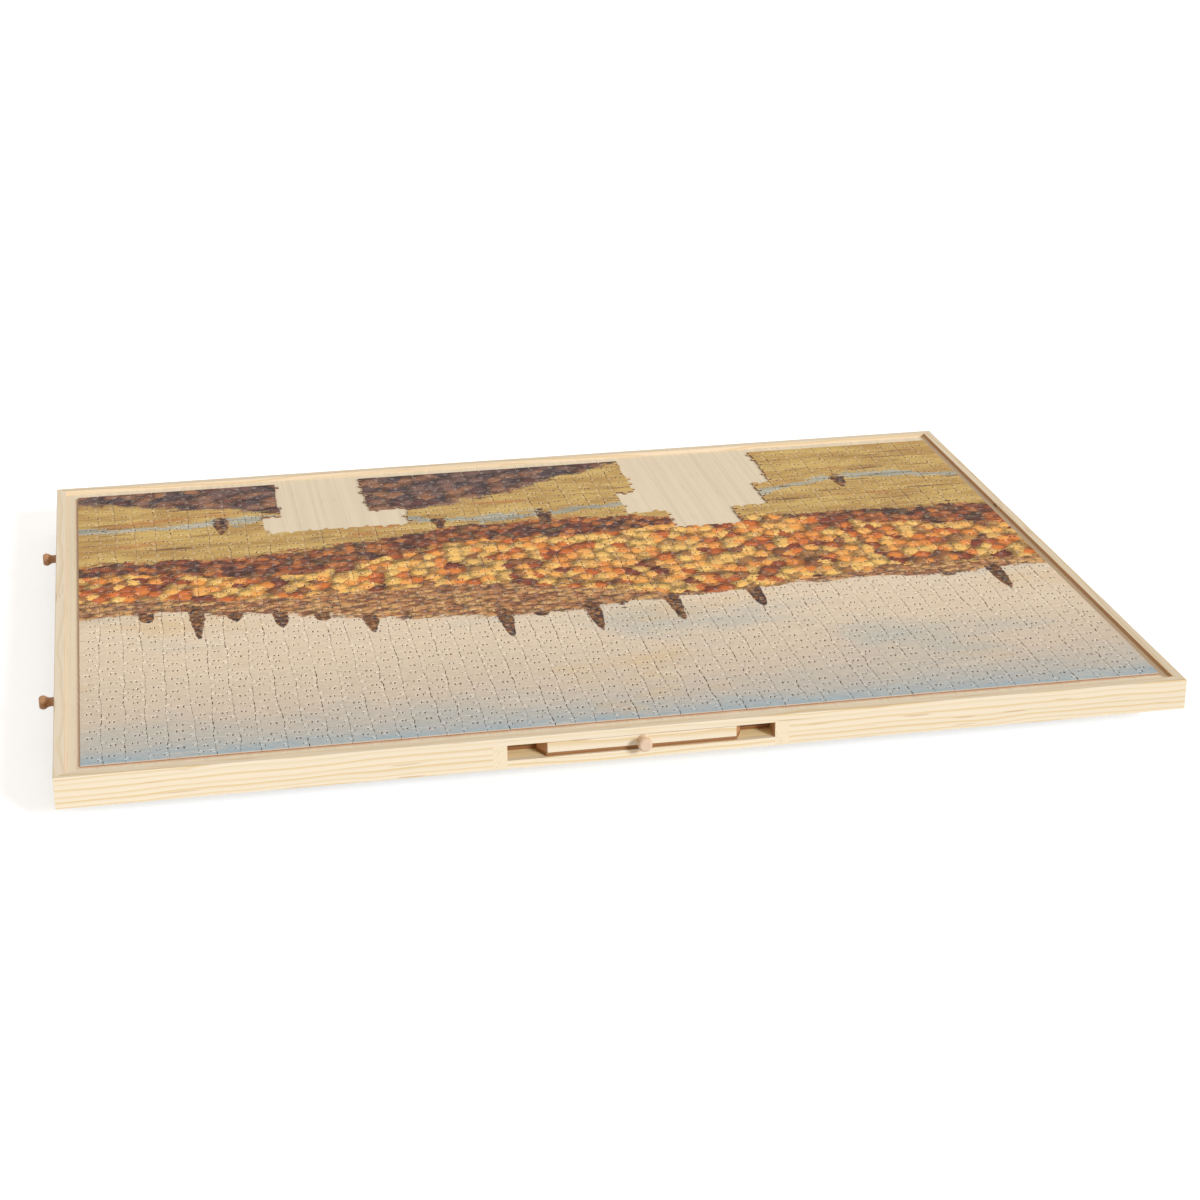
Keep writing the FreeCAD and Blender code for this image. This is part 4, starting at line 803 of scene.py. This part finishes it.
def puzzle_card():
    """The cardboard at the cut sides: brown card, made dark to stand for the shade inside the gaps; the outer edges are
    paler at the top and darker below, a painted shade.
    """
    paint = Paint("puzzle_card")
    fluff = paint.noise(paint.stretch(paint.place, (900.0, 900.0, 2600.0)), 1.0, 3.0, 0.6)
    # Brown card, dark enough to act as painted shade inside the narrow gaps.
    card = paint.mix(fluff, (112, 76, 54), (146, 104, 76))
    x, y, z = paint.split(paint.place)
    outside = []
    for value, low, high in ((x, puzzle_low.x, puzzle_high.x), (y, puzzle_low.y, puzzle_high.y)):
        offset = paint.math("ABSOLUTE", paint.math("SUBTRACT", value, (low + high) / 2))
        outside.append(paint.math("GREATER_THAN", offset, (high - low) / 2 - 0.9 * MM))
    rim = paint.math("MAXIMUM", *outside)
    # Painted shade: the outer edges are darker below their top.
    upper = paint.step(z, puzzle_high.z - 1.2 * MM, puzzle_high.z - 0.9 * MM)
    rim_card_shaded = paint.mix(upper, (164, 116, 82), (200, 186, 168))
    colour = paint.mix(rim, card, rim_card_shaded)
    return paint.finish(colour, 0.85, fluff, 0.00005, 0.8, Specular_IOR_Level=0.2)


outlines = piece_outlines()
laid = laid_cells()
# The shoulders take the paler print, which is partly a painted highlight.
jigsaw_looks = [puzzle_card(), picture_print("picture_edge", 0.25), picture_print("picture_print", 0.0)]
jigsaw_dice = np.random.default_rng(23)
BLOCKS = 5
for index in range(BLOCKS):
    first, past = index * COLUMNS // BLOCKS, (index + 1) * COLUMNS // BLOCKS
    members = [cell for cell in laid if first <= cell[0] < past]
    jigsaw_block(f"jigsaw_block_{index + 1}", members, outlines, jigsaw_dice, jigsaw_looks)


# Floor, light and camera


def studio_floor():
    """A wide pale floor that takes the part's shadow."""
    size = 30.0
    mesh = bpy.data.meshes.new("floor")
    mesh.from_pydata(
        [(-size, -size, 0), (size, -size, 0), (size, size, 0), (-size, size, 0)], [], [(0, 1, 2, 3)]
    )
    floor = bpy.data.objects.new("floor", mesh)
    bpy.context.scene.collection.objects.link(floor)
    material = bpy.data.materials.new("floor")
    material.use_nodes = True
    tree = material.node_tree
    tree.nodes.clear()
    output = tree.nodes.new("ShaderNodeOutputMaterial")
    pale = tree.nodes.new("ShaderNodeBsdfDiffuse")
    pale.inputs["Color"].default_value = (0.78, 0.8, 0.83, 1)
    glow = tree.nodes.new("ShaderNodeEmission")
    glow.inputs["Strength"].default_value = 0.56
    both = tree.nodes.new("ShaderNodeAddShader")
    pick = tree.nodes.new("ShaderNodeMixShader")
    tree.links.new(seen_directly(tree), pick.inputs[0])
    tree.links.new(pale.outputs[0], both.inputs[0])
    tree.links.new(glow.outputs[0], both.inputs[1])
    tree.links.new(pale.outputs[0], pick.inputs[1])
    tree.links.new(both.outputs[0], pick.inputs[2])
    tree.links.new(pick.outputs[0], output.inputs["Surface"])
    mesh.materials.append(material)


def seen_directly(tree):
    """1 for a ray from the camera, from gloss or through glass, else 0."""
    path = tree.nodes.new("ShaderNodeLightPath")
    total = path.outputs["Is Camera Ray"]
    for name in ("Is Glossy Ray", "Is Transmission Ray"):
        add = tree.nodes.new("ShaderNodeMath")
        add.use_clamp = True
        tree.links.new(total, add.inputs[0])
        tree.links.new(path.outputs[name], add.inputs[1])
        total = add.outputs[0]
    return total


def studio_light():
    """An even, warm world and one cooler soft lamp from the front right."""
    world = bpy.data.worlds.new("studio")
    bpy.context.scene.world = world
    world.use_nodes = True
    tree = world.node_tree
    tree.nodes.clear()
    output = tree.nodes.new("ShaderNodeOutputWorld")
    level = tree.nodes.new("ShaderNodeBackground")
    level.inputs["Color"].default_value = (1.0, 0.91, 0.8, 1)
    level.inputs["Strength"].default_value = 0.56
    white = tree.nodes.new("ShaderNodeBackground")
    pick = tree.nodes.new("ShaderNodeMixShader")
    white.inputs["Color"].default_value = (1, 1, 1, 1)
    tree.links.new(seen_directly(tree), pick.inputs[0])
    tree.links.new(level.outputs[0], pick.inputs[1])
    tree.links.new(white.outputs[0], pick.inputs[2])
    tree.links.new(pick.outputs[0], output.inputs["Surface"])
    lamp = bpy.data.lights.new("key", "SUN")
    lamp.energy = 2.76
    lamp.angle = math.radians(13)
    lamp.color = (0.833, 0.908, 1.0)
    key = bpy.data.objects.new("key", lamp)
    bpy.context.scene.collection.objects.link(key)
    towards = Vector((0.498, -0.766, 0.407))
    key.rotation_euler = towards.to_track_quat("Z", "Y").to_euler()
    key.location = towards * 3


def photo_camera():
    """The photograph's camera, worked out from the tray's corners in it."""
    yaw, pitch, roll = 0.190281, 0.378838, -0.006761
    forward = Vector(
        (math.sin(yaw) * math.cos(pitch), math.cos(yaw) * math.cos(pitch), -math.sin(pitch))
    )
    level_right = Vector((math.cos(yaw), -math.sin(yaw), 0))
    level_up = level_right.cross(forward)
    right = math.cos(roll) * level_right + math.sin(roll) * level_up
    up = math.cos(roll) * level_up - math.sin(roll) * level_right
    data = bpy.data.cameras.new("camera")
    data.sensor_width = 36.0
    data.lens = 2518.06 / 1200 * 36.0
    data.clip_end = 100
    camera = bpy.data.objects.new("camera", data)
    bpy.context.scene.collection.objects.link(camera)
    camera.matrix_world = (
        Matrix.Translation((-0.40992, -2.31011, 0.95725))
        @ Matrix((right, up, -forward)).transposed().to_4x4()
    )
    bpy.context.scene.camera = camera


studio_floor()
studio_light()
photo_camera()
bpy.context.scene.view_settings.view_transform = "Standard"
